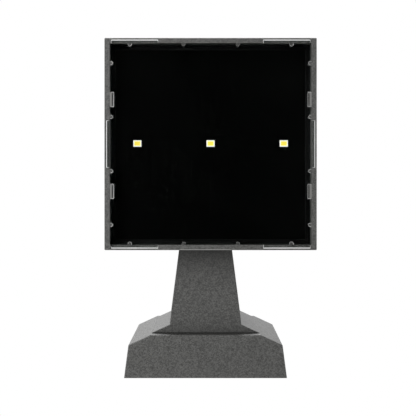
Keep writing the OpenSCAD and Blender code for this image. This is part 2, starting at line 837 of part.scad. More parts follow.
module switch_body() {
    color(inner_black) in_head() difference() {
        box_v(button_x - switch_w / 2, button_x + switch_w / 2, switch_v, switch_v + switch_l,
              button_z - switch_w / 2, button_z + switch_w / 2);
        translate([button_x, -switch_v + over, button_z]) rotate([90, 0, 0])
            cylinder(r = stem_r + snug, h = stem_l + button_travel + slip + over);
    }
}
module switch_gasket() {
    color(inner_black) in_head() translate([button_x, mouth_r, button_z]) rotate([90, 0, 0])
        difference() {
            cylinder(r = flange_r, h = gasket_t);
            translate([0, 0, -over]) cylinder(r = button_r + snug, h = gasket_t + 2 * over);
        }
}
module switch_button() {
    color("dimgray") in_head() translate([button_x, head_r - slip, button_z]) rotate([90, 0, 0]) {
        cylinder(r = button_r, h = rim_w - slip + gasket_t + thread_gap + merge);
        translate([0, 0, rim_w - slip + gasket_t + thread_gap]) {
            cylinder(r = flange_r - slip, h = flange_t);
            cylinder(r = stem_r, h = flange_t + button_travel + stem_gap + stem_l);
        }
    }
}

wall_plate();
base_housing();
lock_screw();
arm();
arm_screws();
head_housing();
head_screws();
clear_cover();
cover_seal();
led_board();
led_packages();
led_phosphors();
battery_holder();
battery_cell();
battery_contacts();
driver_board();
driver_chips();
driver_screws();
panel_tape();
panel_back();
solar_cells();
cell_ribbons();
panel_glass();
panel_leads();
battery_leads();
led_leads();
switch_leads();
switch_body();
switch_gasket();
switch_button();
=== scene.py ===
"""Looks of a small solar wall light: faceted base, tapered arm and square head.

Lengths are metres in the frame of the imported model: the wall is the plane y = 0, +Z is up
and the light stands out towards -Y, with its LEDs facing down.
"""

import logging
import math
from collections.abc import Callable
from dataclasses import dataclass, field
from enum import Enum
from typing import Protocol

import bmesh
import bpy
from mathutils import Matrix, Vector


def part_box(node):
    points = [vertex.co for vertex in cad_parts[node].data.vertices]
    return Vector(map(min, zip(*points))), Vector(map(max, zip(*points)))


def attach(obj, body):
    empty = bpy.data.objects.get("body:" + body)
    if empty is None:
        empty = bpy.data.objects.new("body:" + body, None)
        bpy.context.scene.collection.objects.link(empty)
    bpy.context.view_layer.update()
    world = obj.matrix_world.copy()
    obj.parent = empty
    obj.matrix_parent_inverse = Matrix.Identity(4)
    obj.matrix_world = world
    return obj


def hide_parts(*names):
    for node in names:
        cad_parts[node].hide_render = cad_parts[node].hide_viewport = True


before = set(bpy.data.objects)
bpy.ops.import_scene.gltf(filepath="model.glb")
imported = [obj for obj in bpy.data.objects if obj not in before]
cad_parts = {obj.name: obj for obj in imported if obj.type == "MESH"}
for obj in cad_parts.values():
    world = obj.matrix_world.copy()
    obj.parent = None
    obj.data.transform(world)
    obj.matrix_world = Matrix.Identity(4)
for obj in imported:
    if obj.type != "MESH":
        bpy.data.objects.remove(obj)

log = logging.getLogger("solar_wall_light")

MM = 0.001
TOUCH = 0.01 * MM  # points that differ by less count as level with each other
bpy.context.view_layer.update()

Colour = tuple[float, float, float]
Point = tuple[float, float, float]
Pair = tuple[float, float]
Ring = list[Point]
Material = bpy.types.Material

GREY: Colour = (0.074, 0.074, 0.071)
WHITE: Colour = (1.0, 1.0, 1.0)
BLACK: Colour = (0.0, 0.0, 0.0)


class Body(Enum):
    """The two bodies that the pieces ride on."""

    FIXTURE = "fixture"
    BUTTON = "push_button"


class Ends(Enum):
    """How the two ends of a loft are treated."""

    CLOSED = "closed"
    JOINED = "joined"


class Axis(Enum):
    """The direction that a turned form runs in."""

    X = (1.0, 0.0, 0.0)
    Y = (0.0, 1.0, 0.0)
    Z = (0.0, 0.0, 1.0)


class Op(Enum):
    """The Math node operations that the wrapped sockets use."""

    ADD = "ADD"
    SUBTRACT = "SUBTRACT"
    MULTIPLY = "MULTIPLY"
    DIVIDE = "DIVIDE"
    GREATER = "GREATER_THAN"
    LESS = "LESS_THAN"
    MAXIMUM = "MAXIMUM"
    ABSOLUTE = "ABSOLUTE"
    FRACTION = "FRACT"


class Socket:
    """An output socket whose arithmetic adds Math nodes to its tree."""

    def __init__(self, graph: "Graph", socket: bpy.types.NodeSocket) -> None:
        """Wraps a socket.

        Args:
            graph: the tree that the socket belongs to.
            socket: the output socket itself.
        """
        self.graph = graph
        self.socket = socket

    def math(self, op: Op, other: "Socket | float | None" = None, flip: bool = False) -> "Socket":
        """Adds one Math node.

        Args:
            op: the operation.
            other: the second operand, or None where there is only one.
            flip: True puts the other operand first.

        Returns:
            The node's output.
        """
        values = [self] if other is None else [other, self] if flip else [self, other]
        return self.graph.node("ShaderNodeMath", {"operation": op.value}, dict(enumerate(values)))

    def __add__(self, other: "Socket | float") -> "Socket":
        """Returns self + other."""
        return self.math(Op.ADD, other)

    def __radd__(self, other: float) -> "Socket":
        """Returns other + self."""
        return self.math(Op.ADD, other, flip=True)

    def __sub__(self, other: "Socket | float") -> "Socket":
        """Returns self - other."""
        return self.math(Op.SUBTRACT, other)

    def __rsub__(self, other: float) -> "Socket":
        """Returns other - self."""
        return self.math(Op.SUBTRACT, other, flip=True)

    def __mul__(self, other: "Socket | float") -> "Socket":
        """Returns self * other."""
        return self.math(Op.MULTIPLY, other)

    def __rmul__(self, other: float) -> "Socket":
        """Returns other * self."""
        return self.math(Op.MULTIPLY, other, flip=True)

    def __truediv__(self, other: "Socket | float") -> "Socket":
        """Returns self / other."""
        return self.math(Op.DIVIDE, other)

    def __rtruediv__(self, other: float) -> "Socket":
        """Returns other / self."""
        return self.math(Op.DIVIDE, other, flip=True)

    def __gt__(self, other: "Socket | float") -> "Socket":
        """Returns 1 where self is above other, else 0."""
        return self.math(Op.GREATER, other)

    def __lt__(self, other: "Socket | float") -> "Socket":
        """Returns 1 where self is below other, else 0."""
        return self.math(Op.LESS, other)

    def __or__(self, other: "Socket | float") -> "Socket":
        """Returns the larger of self and other."""
        return self.math(Op.MAXIMUM, other)

    def __abs__(self) -> "Socket":
        """Returns self without its sign."""
        return self.math(Op.ABSOLUTE)

    def fract(self) -> "Socket":
        """Returns the part of self after the decimal point."""
        return self.math(Op.FRACTION)

    def spread(self, width: float, middle: float) -> "Socket":
        """Returns self, a level from 0 to 1, as a value that varies round a middle."""
        return (self - 0.5) * width + middle


class Graph:
    """A node tree, built from wrapped sockets."""

    def __init__(self, owner: Material | bpy.types.World) -> None:
        """Empties the tree of a material or a world.

        Args:
            owner: the material or world.
        """
        self.owner = owner
        owner.use_nodes = True
        self.tree = owner.node_tree
        self.tree.nodes.clear()

    @classmethod
    def named(cls, name: str) -> "Graph":
        """Returns the tree of a new material."""
        return cls(bpy.data.materials.new(name))

    def node(
        self,
        kind: str,
        settings: dict[str, object] | None = None,
        inputs: dict[str | int, object] | None = None,
        output: str | int = 0,
    ) -> Socket:
        """Adds a node of any type.

        Args:
            kind: the node's type name.
            settings: attributes, set first; "stops" holds a ramp's (position, colour) pairs.
            inputs: values or wrapped sockets, by input name or number. A colour has no alpha.
            output: the output to return, by name or number.

        Returns:
            The chosen output, wrapped.
        """
        made = self.tree.nodes.new(kind)
        for key, value in (settings or {}).items():
            if key == "stops":
                self._set_stops(made.color_ramp, value)
            else:
                setattr(made, key, value)
        for key, value in (inputs or {}).items():
            entry = made.inputs[key]
            if isinstance(value, Socket):
                self.tree.links.new(value.socket, entry)
            else:
                entry.default_value = (*value, 1.0) if entry.type == "RGBA" else value
        return Socket(self, made.outputs[output] if made.outputs else None)

    @staticmethod
    def _set_stops(ramp: bpy.types.ColorRamp, stops: list[tuple[float, Colour]]) -> None:
        """Fills a colour ramp from (position, colour) pairs.

        Args:
            ramp: the ramp.
            stops: its stops, in order.
        """
        while len(ramp.elements) > 1:
            ramp.elements.remove(ramp.elements[-1])
        for number, (position, colour) in enumerate(stops):
            stop = ramp.elements[0] if number == 0 else ramp.elements.new(position)
            stop.position = position
            stop.color = (*colour, 1.0)

    def place(self) -> Socket:
        """Returns the point on the object, in metres."""
        return self.node("ShaderNodeTexCoord", output="Object")

    def axes(self) -> tuple[Socket, Socket, Socket]:
        """Returns x, y and z of the point on the object."""
        split = self.node("ShaderNodeSeparateXYZ", inputs={0: self.place()})
        x, y, z = (Socket(self, out) for out in split.socket.node.outputs)
        return x, y, z

    def noise(self, size: float, detail: float = 2.0, roughness: float = 0.5) -> Socket:
        """Returns noise from 0 to 1.

        Args:
            size: width of one patch, in metres.
            detail: octaves.
            roughness: strength of the finer octaves.
        """
        values = {"Vector": self.place(), "Scale": 1.0 / size, "Detail": detail, "Roughness": roughness}
        return self.node("ShaderNodeTexNoise", inputs=values)

    def flakes(self, size: float) -> Socket:
        """Returns a random level for each flake of about that size, from 0 to 1.

        Args:
            size: width of one flake, in metres.
        """
        cells = self.node(
            "ShaderNodeTexVoronoi", inputs={"Vector": self.place(), "Scale": 1.0 / size}, output="Color"
        )
        return self.node("ShaderNodeSeparateColor", inputs={0: cells})

    def blend(self, factor: Socket | float, low: Colour | Socket, high: Colour | Socket) -> Socket:
        """Returns a colour between low, at factor 0, and high, at factor 1."""
        return self.node("ShaderNodeMix", {"data_type": "RGBA"}, {0: factor, 6: low, 7: high}, 2)

    def tones(self, factor: Socket, colour: Colour, levels: Pair) -> Socket:
        """Returns a colour that runs from its first level, at factor 0, to its second, at 1."""
        return self.blend(factor, shade(colour, levels[0]), shade(colour, levels[1]))

    def rays(self, *kinds: str) -> Socket:
        """Returns 1 for the rays of the kinds that are named, else 0."""
        seen, *others = [self.node("ShaderNodeLightPath", output=f"Is {kind} Ray") for kind in kinds]
        for other in others:
            seen = seen | other
        return seen

    def bump(self, height: Socket, depth: float, strength: float = 1.0) -> Socket:
        """Returns a normal from a height.

        Args:
            height: height from 0 to 1.
            depth: real depth of the relief, in metres.
            strength: share of the relief that shows.
        """
        return self.node(
            "ShaderNodeBump", inputs={"Strength": strength, "Distance": depth, "Height": height}
        )

    def principled(self, inputs: dict[str, object]) -> Socket:
        """Returns a Principled shader.

        Args:
            inputs: its values or wrapped sockets, by name.
        """
        return self.node("ShaderNodeBsdfPrincipled", inputs=inputs)

    def surface(self, inputs: dict[str, object]) -> Material:
        """Ends the tree in a Principled surface.

        Args:
            inputs: the shader's values or wrapped sockets, by name.

        Returns:
            The finished material.
        """
        return self.end(self.principled(inputs))

    def lit_through(self, shader: Socket, tint: Colour) -> Material:
        """Ends the tree in a clear material that lets the lamps reach what is behind it.

        Args:
            shader: what the eye sees.
            tint: the colour that light takes on as it passes.

        Returns:
            The finished material.
        """
        passing = self.rays("Shadow", "Diffuse", "Glossy")
        through = self.node("ShaderNodeBsdfTransparent", inputs={"Color": tint})
        return self.end(self.node("ShaderNodeMixShader", inputs={0: passing, 1: shader, 2: through}))

    def end(self, shader: Socket) -> Material:
        """Joins a shader to the output and returns the material."""
        self.node("ShaderNodeOutputMaterial", inputs={"Surface": shader})
        return self.owner


def shade(colour: Colour, level: float) -> Colour:
    """Returns a colour made darker or paler by a factor."""
    return tuple(min(1.0, c * level) for c in colour)


class Finish(Protocol):
    """Anything that makes a material."""

    def make(self) -> Material:
        """Returns the material."""


@dataclass(frozen=True)
class Patch:
    """Box in plan inside which a moulding is smooth, and darker or lighter."""

    middle: Pair
    half: Pair
    tone: float


@dataclass(frozen=True)
class ErodedPlastic:
    """Matt moulded plastic with a spark-eroded grain, and painted shade that darkens it where ambient
    occlusion finds its corners closed in.
    """

    name: str
    colour: Colour
    contrast: float = 1.0
    painted_shade_reach: float = 0.0
    painted_shade_tone: float = 0.1
    patches: tuple[Patch, ...] = ()
    grain: float = 0.00042
    relief: float = 0.00003
    pit_relief: float = 0.4
    pit_tone: float = 1.4
    blotch: float = 3.0
    blotch_tone: float = 0.3
    cloud: float = 0.025
    cloud_tone: float = 0.25
    tones: Pair = (0.6, 1.4)
    roughness: float = 0.42
    uneven: float = 0.3

    def make(self) -> Material:
        """Returns the material."""
        g = Graph.named(self.name)
        pits = g.flakes(self.grain)
        blotches = g.noise(self.grain * self.blotch, 3.0, 0.65)
        speckle = (pits - 0.5) * self.pit_tone + (blotches - 0.5) * self.blotch_tone
        tone = speckle * self.contrast + (g.noise(self.cloud) - 0.5) * self.cloud_tone + 0.5
        plain = g.tones(tone, self.colour, self.tones)
        # painted shade: the colour darkens where the surface is closed in, in corners, creases and under
        # other parts
        if self.painted_shade_reach:
            values = {"Distance": self.painted_shade_reach}
            open_air = g.node("ShaderNodeAmbientOcclusion", {"samples": 12}, values, "AO")
            plain = g.blend(open_air, shade(self.colour, self.painted_shade_tone), plain)
        if self.patches:
            x, y, _ = g.axes()
        for patch in self.patches:
            (mid_x, mid_y), (half_x, half_y) = patch.middle, patch.half
            within = (abs(x - mid_x) < half_x) * (abs(y - mid_y) < half_y)
            plain = g.blend(within, plain, shade(self.colour, patch.tone))
        return g.surface({
            "Base Color": plain,
            "Roughness": blotches.spread(self.uneven, self.roughness),
            "Normal": g.bump(pits * self.pit_relief + blotches, self.relief),
        })


@dataclass(frozen=True)
class SmoothPlastic:
    """Plain moulded plastic, rubber or resin with faint unevenness."""

    name: str
    colour: Colour
    roughness: float = 0.4
    coat: float = 0.0
    glow: float = 0.0
    gloss: float = 0.5
    cloud: float = 0.0022
    tones: Pair = (0.82, 1.18)
    uneven: float = 0.12
    grain: float = 0.0009
    relief: float = 0.000006

    def make(self) -> Material:
        """Returns the material."""
        g = Graph.named(self.name)
        clouds = g.noise(self.cloud, 3.0)
        return g.surface({
            "Base Color": g.tones(clouds, self.colour, self.tones),
            "Roughness": clouds.spread(self.uneven, self.roughness),
            "Specular IOR Level": self.gloss,
            "Coat Weight": self.coat,
            "Emission Color": self.colour,
            "Emission Strength": self.glow,
            "Normal": g.bump(g.noise(self.grain), self.relief),
        })


@dataclass(frozen=True)
class ClearPlastic:
    """Clear polished plastic or glass."""

    name: str
    tint: Colour = (0.98, 0.99, 0.985)
    index: float = 1.49
    roughness: float = 0.005
    cloud: float = 0.018
    tones: Pair = (0.985, 1.0)
    uneven: float = 0.015
    clearness: float = 0.97

    def make(self) -> Material:
        """Returns the material."""
        g = Graph.named(self.name)
        clouds = g.noise(self.cloud)
        clear = g.principled({
            "Base Color": g.tones(clouds, self.tint, self.tones),
            "Roughness": clouds * self.uneven + self.roughness,
            "IOR": self.index,
            "Transmission Weight": 1.0,
        })
        return g.lit_through(clear, shade(self.tint, self.clearness))


@dataclass(frozen=True)
class LitEdge:
    """Rounded edge of a clear moulding, with a painted glint: a pale colour and a glow stand in for the
    light that it gathers from its faces.
    """

    name: str
    colour: Colour = (0.86, 0.87, 0.86)
    glow: float = 0.42
    streak: float = 0.0035
    tones: Pair = (0.75, 1.0)
    glow_tones: Pair = (0.7, 1.0)
    roughness: float = 0.1
    uneven: float = 0.2
    relief: float = 0.00001

    def make(self) -> Material:
        """Returns the material."""
        g = Graph.named(self.name)
        streaks = g.noise(self.streak, 3.0, 0.6)
        edge = g.principled({
            "Base Color": g.tones(streaks, self.colour, self.tones),
            "Roughness": streaks * self.uneven + self.roughness,
            # painted glint: the edge glows, though no lamp is in it
            "Emission Color": g.tones(streaks, self.colour, self.glow_tones),
            "Emission Strength": self.glow,
            "Normal": g.bump(streaks, self.relief, 0.5),
        })
        return g.lit_through(edge, self.colour)


@dataclass(frozen=True)
class Metal:
    """Plated, brushed or tinned metal."""

    name: str
    colour: Colour = (0.62, 0.61, 0.58)
    roughness: float = 0.3
    stain: float = 0.0014
    tones: Pair = (0.78, 1.0)
    uneven: float = 0.25
    grain: float = 0.00035
    relief: float = 0.000006

    def make(self) -> Material:
        """Returns the material."""
        g = Graph.named(self.name)
        stains = g.noise(self.stain, 4.0, 0.6)
        return g.surface({
            "Base Color": g.tones(stains, self.colour, self.tones),
            "Metallic": 1.0,
            "Roughness": stains.spread(self.uneven, self.roughness),
            "Normal": g.bump(g.noise(self.grain, 3.0), self.relief),
        })


@dataclass(frozen=True)
class PrintedBoard:
    """Circuit board under its lacquer, with tracks that stand out a little.

    The tracks that cross each way are given by the share of their pitch that is bare, the
    size of the areas that they fill and the level of the noise above which an area has them.
    """

    name: str
    colour: Colour
    track_pitch: float
    roughness: float = 0.3
    lift: float = 1.5
    gloss: float = 0.5
    cross_x: tuple[float, float, float] = (0.55, 0.011, 0.52)
    cross_y: tuple[float, float, float] = (0.6, 0.014, 0.56)
    grain: float = 0.0005
    tones: Pair = (0.85, 1.15)
    uneven: float = 0.1
    relief: float = 0.00002

    def make(self) -> Material:
        """Returns the material."""
        g = Graph.named(self.name)
        x, y, _ = g.axes()
        tracks = self._tracks(g, x, *self.cross_x) | self._tracks(g, y, *self.cross_y)
        speck = g.noise(self.grain, 3.0)
        plain = g.tones(speck, self.colour, self.tones)
        return g.surface({
            "Base Color": g.blend(tracks, plain, shade(self.colour, self.lift)),
            "Roughness": speck * self.uneven + (self.roughness - self.uneven / 2),
            "Specular IOR Level": self.gloss,
            "Normal": g.bump(tracks, self.relief, 0.6),
        })

    def _tracks(self, g: Graph, way: Socket, bare: float, area: float, level: float) -> Socket:
        """Returns 1 on the tracks that cross one way, else 0.

        Args:
            g: the material's tree.
            way: the coordinate that they cross.
            bare: share of their pitch that is bare.
            area: size of the areas that they fill.
            level: level of the noise above which an area has them.
        """
        return ((way / self.track_pitch).fract() > bare) * (g.noise(area, 0.0) > level)


@dataclass(frozen=True)
class Phosphor:
    """Yellow silicone gel in an LED's cup, paler where it is thin at the rim."""

    name: str
    row: Pair
    pitch: float
    half: Pair
    core: Colour = (0.9, 0.72, 0.075)
    rim: Colour = (0.95, 0.87, 0.32)
    core_end: float = 0.7
    deep: float = 0.94
    glow: float = 0.35
    coat: float = 0.4
    roughness: float = 0.25
    cloud: float = 0.0005
    uneven: float = 0.2
    grain: float = 0.0004
    ragged: float = 0.35
    ripple: float = 0.0003
    relief: float = 0.00001

    def make(self) -> Material:
        """Returns the material."""
        g = Graph.named(self.name)
        x, y, _ = g.axes()
        u = abs(((x - self.row[0]) / self.pitch + 0.5).fract() - 0.5) * (self.pitch / self.half[0])
        v = abs(y - self.row[1]) / self.half[1]
        edge = (u | v) + (g.noise(self.grain) - 0.5) * self.ragged
        stops = [(0.0, shade(self.core, self.deep)), (self.core_end, self.core), (1.0, self.rim)]
        tone = g.node("ShaderNodeValToRGB", {"stops": stops}, {0: edge})
        return g.surface({
            "Base Color": tone,
            "Roughness": g.noise(self.cloud) * self.uneven + self.roughness,
            "Coat Weight": self.coat,
            # painted light: the gel glows a little, though the LEDs are not lit
            "Emission Color": tone,
            "Emission Strength": self.glow,
            "Normal": g.bump(g.noise(self.ripple, 3.0), self.relief),
        })


@dataclass(frozen=True)
class CellFilm:
    """Dark blue silicon cell with flakes and fine printed fingers."""

    name: str
    colour: Colour = (0.008, 0.016, 0.06)
    finger: Colour = (0.07, 0.08, 0.11)
    finger_pitch: float = 0.0019
    finger_start: float = 0.93
    flake: float = 0.0034
    cloud: float = 0.012
    shares: Pair = (0.7, 0.3)
    tones: Pair = (0.55, 1.6)
    roughness: float = 0.25
    finger_matt: float = 0.15
    patch: float = 0.004
    uneven: float = 0.1
    gloss: float = 0.12
    ripple: float = 0.006
    relief: float = 0.000004

    def make(self) -> Material:
        """Returns the material."""
        g = Graph.named(self.name)
        x, _, _ = g.axes()
        lines = (x / self.finger_pitch).fract() > self.finger_start
        flakes = g.flakes(self.flake) * self.shares[0] + g.noise(self.cloud) * self.shares[1]
        silicon = g.tones(flakes, self.colour, self.tones)
        return g.surface({
            "Base Color": g.blend(lines, silicon, self.finger),
            "Roughness": lines * self.finger_matt + g.noise(self.patch) * self.uneven + self.roughness,
            "Specular IOR Level": self.gloss,
            "Normal": g.bump(g.noise(self.ripple), self.relief),
        })


def made(finish: Finish) -> Material:
    """Returns a field that makes a finish's material when the finishes are collected."""
    return field(default_factory=finish.make)


@dataclass(frozen=True)
class Finishes:
    """All the finishes of the light, each made once."""

    shell: Material = made(ErodedPlastic("grained_shell", GREY))
    # the base and the arm get painted shade where they are closed in: on the ledge under the arm's foot
    # and on the arm under the head
    base_shell: Material = made(
        ErodedPlastic("corner_shaded_shell", GREY, contrast=0.78, painted_shade_reach=0.016, painted_shade_tone=0.05)
    )
    arm_shell: Material = made(ErodedPlastic("shaded_shell", GREY, painted_shade_reach=0.02, painted_shade_tone=0.4))
    steel: Material = made(Metal("zinc_steel", (0.6, 0.6, 0.58)))
    clear: Material = made(ClearPlastic("clear_cover"))
    lit_edge: Material = made(LitEdge("lit_edge"))
    rubber: Material = made(SmoothPlastic("seal_rubber", (0.006, 0.006, 0.006), 0.7, gloss=0.08))
    lamp_board: Material = made(
        PrintedBoard("black_lacquer", (0.0005, 0.0006, 0.0005), 0.0042, 0.2, lift=1.6, gloss=0.15)
    )
    # painted light: the LED frames glow a little, though they give no light
    white: Material = made(SmoothPlastic("lamp_frame", (0.86, 0.86, 0.83), 0.35, glow=0.3))
    black: Material = made(SmoothPlastic("black_plastic", (0.02, 0.02, 0.02), 0.45))
    sleeve: Material = made(SmoothPlastic("cell_sleeve", (0.02, 0.16, 0.12), 0.3, coat=0.5))
    nickel: Material = made(Metal("nickel", (0.7, 0.68, 0.62), 0.22))
    tin: Material = made(Metal("dull_tin", (0.3, 0.3, 0.29), 0.42))
    copper: Material = made(Metal("copper_wire", (0.75, 0.36, 0.2), 0.3))
    green_board: Material = made(PrintedBoard("green_lacquer", (0.01, 0.09, 0.03), 0.0013))
    epoxy: Material = made(SmoothPlastic("black_epoxy", (0.012, 0.012, 0.012), 0.5))
    foam: Material = made(SmoothPlastic("white_foam", (0.7, 0.7, 0.68), 0.85))
    sheet: Material = made(SmoothPlastic("white_sheet", (0.78, 0.79, 0.8), 0.5))
    silicon: Material = made(CellFilm("blue_silicon"))
    glass: Material = made(ClearPlastic("panel_glass", (0.97, 0.985, 0.98), 1.4, 0.03))
    red: Material = made(SmoothPlastic("red_insulation", (0.42, 0.02, 0.015), 0.4))
    wire_black: Material = made(SmoothPlastic("black_insulation", (0.018, 0.018, 0.018), 0.4))
    button: Material = made(SmoothPlastic("grey_silicone", (0.05, 0.05, 0.05), 0.5))


@dataclass(frozen=True)
class Edges:
    """How the edges of a form are rounded.

    A weight of 1 gives an edge the full radius. The finish, if there is one, goes on the
    rounded edges alone.
    """

    radius: float
    segments: int = 2
    least: float = 0.0
    weigh: Callable[[Vector, Vector], float] | None = None
    finish: Material | None = None


SCREW_EDGES = Edges(0.12 * MM)


def in_mm(steps: tuple[Pair, ...]) -> list[Pair]:
    """Returns pairs of lengths in metres for pairs in millimetres."""
    return [(a * MM, b * MM) for a, b in steps]


def shift(at: Point, by: Point) -> Point:
    """Returns a point in metres that is moved by lengths in millimetres."""
    return tuple(a + b * MM for a, b in zip(at, by))


def shrink(half: Pair, share: float) -> Pair:
    """Returns half sizes times a share."""
    return half[0] * share, half[1] * share


def circle(centre: Point, axis: Axis, radius: float, steps: int = 48) -> Ring:
    """Returns the points of a circle.

    Args:
        centre: its middle.
        axis: the direction that it faces.
        radius: its radius.
        steps: number of points.
    """
    normal = Vector(axis.value)
    side = Vector((0.0, 0.0, 1.0)) if axis is not Axis.Z else Vector((1.0, 0.0, 0.0))
    up = normal.cross(side)
    turns = (2 * math.pi * i / steps for i in range(steps))
    return [tuple(Vector(centre) + radius * (math.cos(t) * side + math.sin(t) * up)) for t in turns]


def rectangle(centre: Point, half: Pair, corner: float, steps: int = 4) -> Ring:
    """Returns a level rectangle with rounded corners.

    Args:
        centre: its middle.
        half: half its length along x and along y.
        corner: radius of its corners.
        steps: points in each corner, less one.
    """
    ring = []
    for quarter, (sx, sy) in enumerate(((1, 1), (-1, 1), (-1, -1), (1, -1))):
        cx = centre[0] + sx * (half[0] - corner)
        cy = centre[1] + sy * (half[1] - corner)
        for i in range(steps + 1):
            turn = math.pi / 2 * (quarter + i / steps)
            ring.append((cx + corner * math.cos(turn), cy + corner * math.sin(turn), centre[2]))
    return ring


def rounded_path(points: list[Point], bend: float, steps: int = 6, most: float = 0.48) -> list[Vector]:
    """Returns a path whose corners are replaced by curves.

    Args:
        points: the corners and the two ends.
        bend: length taken off each side of a corner.
        steps: points in each curve, less one.
        most: largest share of a side that a curve takes.
    """
    corners = [Vector(p) for p in points]
    path = [corners[0]]
    for before, here, after in zip(corners, corners[1:], corners[2:]):
        room = min(bend, (before - here).length * most, (after - here).length * most)
        start = here + (before - here).normalized() * room
        end = here + (after - here).normalized() * room
        for i in range(steps + 1):
            t = i / steps
            path.append((1 - t) ** 2 * start + 2 * t * (1 - t) * here + t**2 * end)
    return [*path, corners[-1]]


class Form:
    """A mesh under construction, in metres.

    Points nearer than WELD are one point, and faces within the angle FLAT are one face. An
    edge is rounded above the angle ROUNDED, and it shades as sharp above the angle SHARP.
    """

    WELD: float = 0.002 * MM
    FLAT: float = math.radians(0.4)
    ROUNDED: float = math.radians(14)
    SHARP: float = math.radians(32)

    def __init__(self) -> None:
        """Starts an empty form."""
        self.bm = bmesh.new()

    @classmethod
    def of_node(cls, node: str) -> "Form":
        """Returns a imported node's form, welded and without seams across its flat faces.

        Args:
            node: the node's name.
        """
        form = cls()
        form.bm.from_mesh(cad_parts[node].data)
        bmesh.ops.remove_doubles(form.bm, verts=form.bm.verts, dist=cls.WELD)
        bmesh.ops.dissolve_limit(form.bm, angle_limit=cls.FLAT, verts=form.bm.verts, edges=form.bm.edges)
        bmesh.ops.recalc_face_normals(form.bm, faces=form.bm.faces)
        return form

    def loft(self, rings: list[Ring], ends: Ends = Ends.CLOSED) -> "Form":
        """Adds a skin over rings of equal length.

        Args:
            rings: the rings, in order.
            ends: closed with a face, or joined first to last.

        Returns:
            The form itself.
        """
        rows = [[self.bm.verts.new(p) for p in ring] for ring in rings]
        pairs = list(zip(rows, rows[1:]))
        if ends is Ends.JOINED:
            pairs.append((rows[-1], rows[0]))
        faces = []
        for low, high in pairs:
            for i in range(len(low)):
                j = (i + 1) % len(low)
                faces.append(self.bm.faces.new((low[i], low[j], high[j], high[i])))
        if ends is Ends.CLOSED:
            faces.append(self.bm.faces.new(list(reversed(rows[0]))))
            faces.append(self.bm.faces.new(rows[-1]))
        bmesh.ops.recalc_face_normals(self.bm, faces=faces)
        return self

    def turned(self, at: Point, axis: Axis, profile: list[Pair], **kw: object) -> "Form":
        """Adds a turned form.

        Args:
            at: the point on the axis that the profile is measured from.
            axis: the direction of the axis.
            profile: (distance along the axis, radius) pairs.
            kw: what goes on to loft.

        Returns:
            The form itself.
        """
        steps = [Vector(at) + Vector(axis.value) * along for along, _ in profile]
        rings = [circle(tuple(p), axis, radius) for p, (_, radius) in zip(steps, profile)]
        return self.loft(rings, **kw)

    def box(self, low: Point, high: Point, corner: float = 0.05 * MM) -> "Form":
        """Adds an upright box with rounded corners, between two corners.

        Args:
            low: the lowest corner.
            high: the highest corner.
            corner: how far the corners are rounded.

        Returns:
            The form itself.
        """
        half = ((high[0] - low[0]) / 2, (high[1] - low[1]) / 2)
        middle = ((low[0] + high[0]) / 2, (low[1] + high[1]) / 2)
        cut = corner / 2
        inner = (half[0] - cut, half[1] - cut)
        levels = [(low[2], inner), (low[2] + cut, half), (high[2] - cut, half), (high[2], inner)]
        return self.loft([rectangle((*middle, z), size, corner, 2) for z, size in levels])

    def tube(self, points: list[Point], radius: float, bend: float, sides: int = 12) -> "Form":
        """Adds a round wire along a path with rounded bends.

        Args:
            points: the corners and the two ends of the path.
            radius: the wire's radius.
            bend: length taken off each side of a corner.
            sides: points round the wire.

        Returns:
            The form itself.
        """
        path = rounded_path(points, bend)
        heading = (path[1] - path[0]).normalized()
        side = heading.orthogonal().normalized()
        rings = []
        for i, here in enumerate(path):
            ahead = (path[min(i + 1, len(path) - 1)] - path[max(i - 1, 0)]).normalized()
            side = (side - side.dot(ahead) * ahead).normalized()
            up = ahead.cross(side)
            turns = (2 * math.pi * k / sides for k in range(sides))
            rings.append([tuple(here + radius * (math.cos(t) * side + math.sin(t) * up)) for t in turns])
        return self.loft(rings)

    def place(
        self,
        name: str,
        finish: Material,
        slot: str,
        nodes: tuple[str, ...] = (),
        body: Body = Body.FIXTURE,
        edges: Edges | None = None,
    ) -> bpy.types.Object:
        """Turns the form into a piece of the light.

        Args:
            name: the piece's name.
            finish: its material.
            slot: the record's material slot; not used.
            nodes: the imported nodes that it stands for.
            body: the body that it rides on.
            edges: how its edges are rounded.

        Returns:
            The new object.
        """
        if edges:
            self._weigh(edges)
        for face in self.bm.faces:
            face.smooth = True
        for edge in self.bm.edges:
            edge.smooth = edge.is_manifold and edge.calc_face_angle(0.0) < self.SHARP
        mesh = bpy.data.meshes.new(name)
        self.bm.to_mesh(mesh)
        self.bm.free()
        mesh.materials.append(finish)
        piece = bpy.data.objects.new(name, mesh)
        bpy.context.scene.collection.objects.link(piece)
        if edges:
            self._round(piece, edges)
        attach(piece, body.value)
        if nodes:
            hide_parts(*nodes)
        log.info("%s: %d faces", name, len(mesh.polygons))
        return piece

    def _weigh(self, edges: Edges) -> None:
        """Writes each edge's share of the full radius, or 0 where it has no room for it.

        Args:
            edges: which edges are rounded, and how.
        """
        layer = self.bm.edges.layers.float.new("bevel_weight_edge")
        shares = {}
        for edge in self.bm.edges:
            sharp = edge.is_manifold and edge.calc_face_angle(0.0) > self.ROUNDED
            if sharp and edge.calc_length() >= edges.least:
                ends = edge.verts[0].co, edge.verts[1].co
                share = edges.weigh(*ends) if edges.weigh else 1.0
                if share:
                    shares[edge] = share
        while tight := [e for e, share in shares.items() if self._room(e, shares) < edges.radius * share]:
            for edge in tight:
                del shares[edge]
        for edge, share in shares.items():
            edge[layer] = share

    @staticmethod
    def _room(edge: bmesh.types.BMEdge, rounded: dict[bmesh.types.BMEdge, float]) -> float:
        """Returns the width that fits beside an edge.

        Args:
            edge: the edge.
            rounded: all the edges that are to be rounded.
        """
        room = edge.calc_length()
        for face in edge.link_faces:
            for vert in edge.verts:
                beside = next(e for e in vert.link_edges if e is not edge and face in e.link_faces)
                turn = (edge.other_vert(vert).co - vert.co).angle(beside.other_vert(vert).co - vert.co)
                slope = math.tan(turn / 2) if beside in rounded else math.sin(turn)
                room = min(room, beside.calc_length() * slope / 2)
        return room

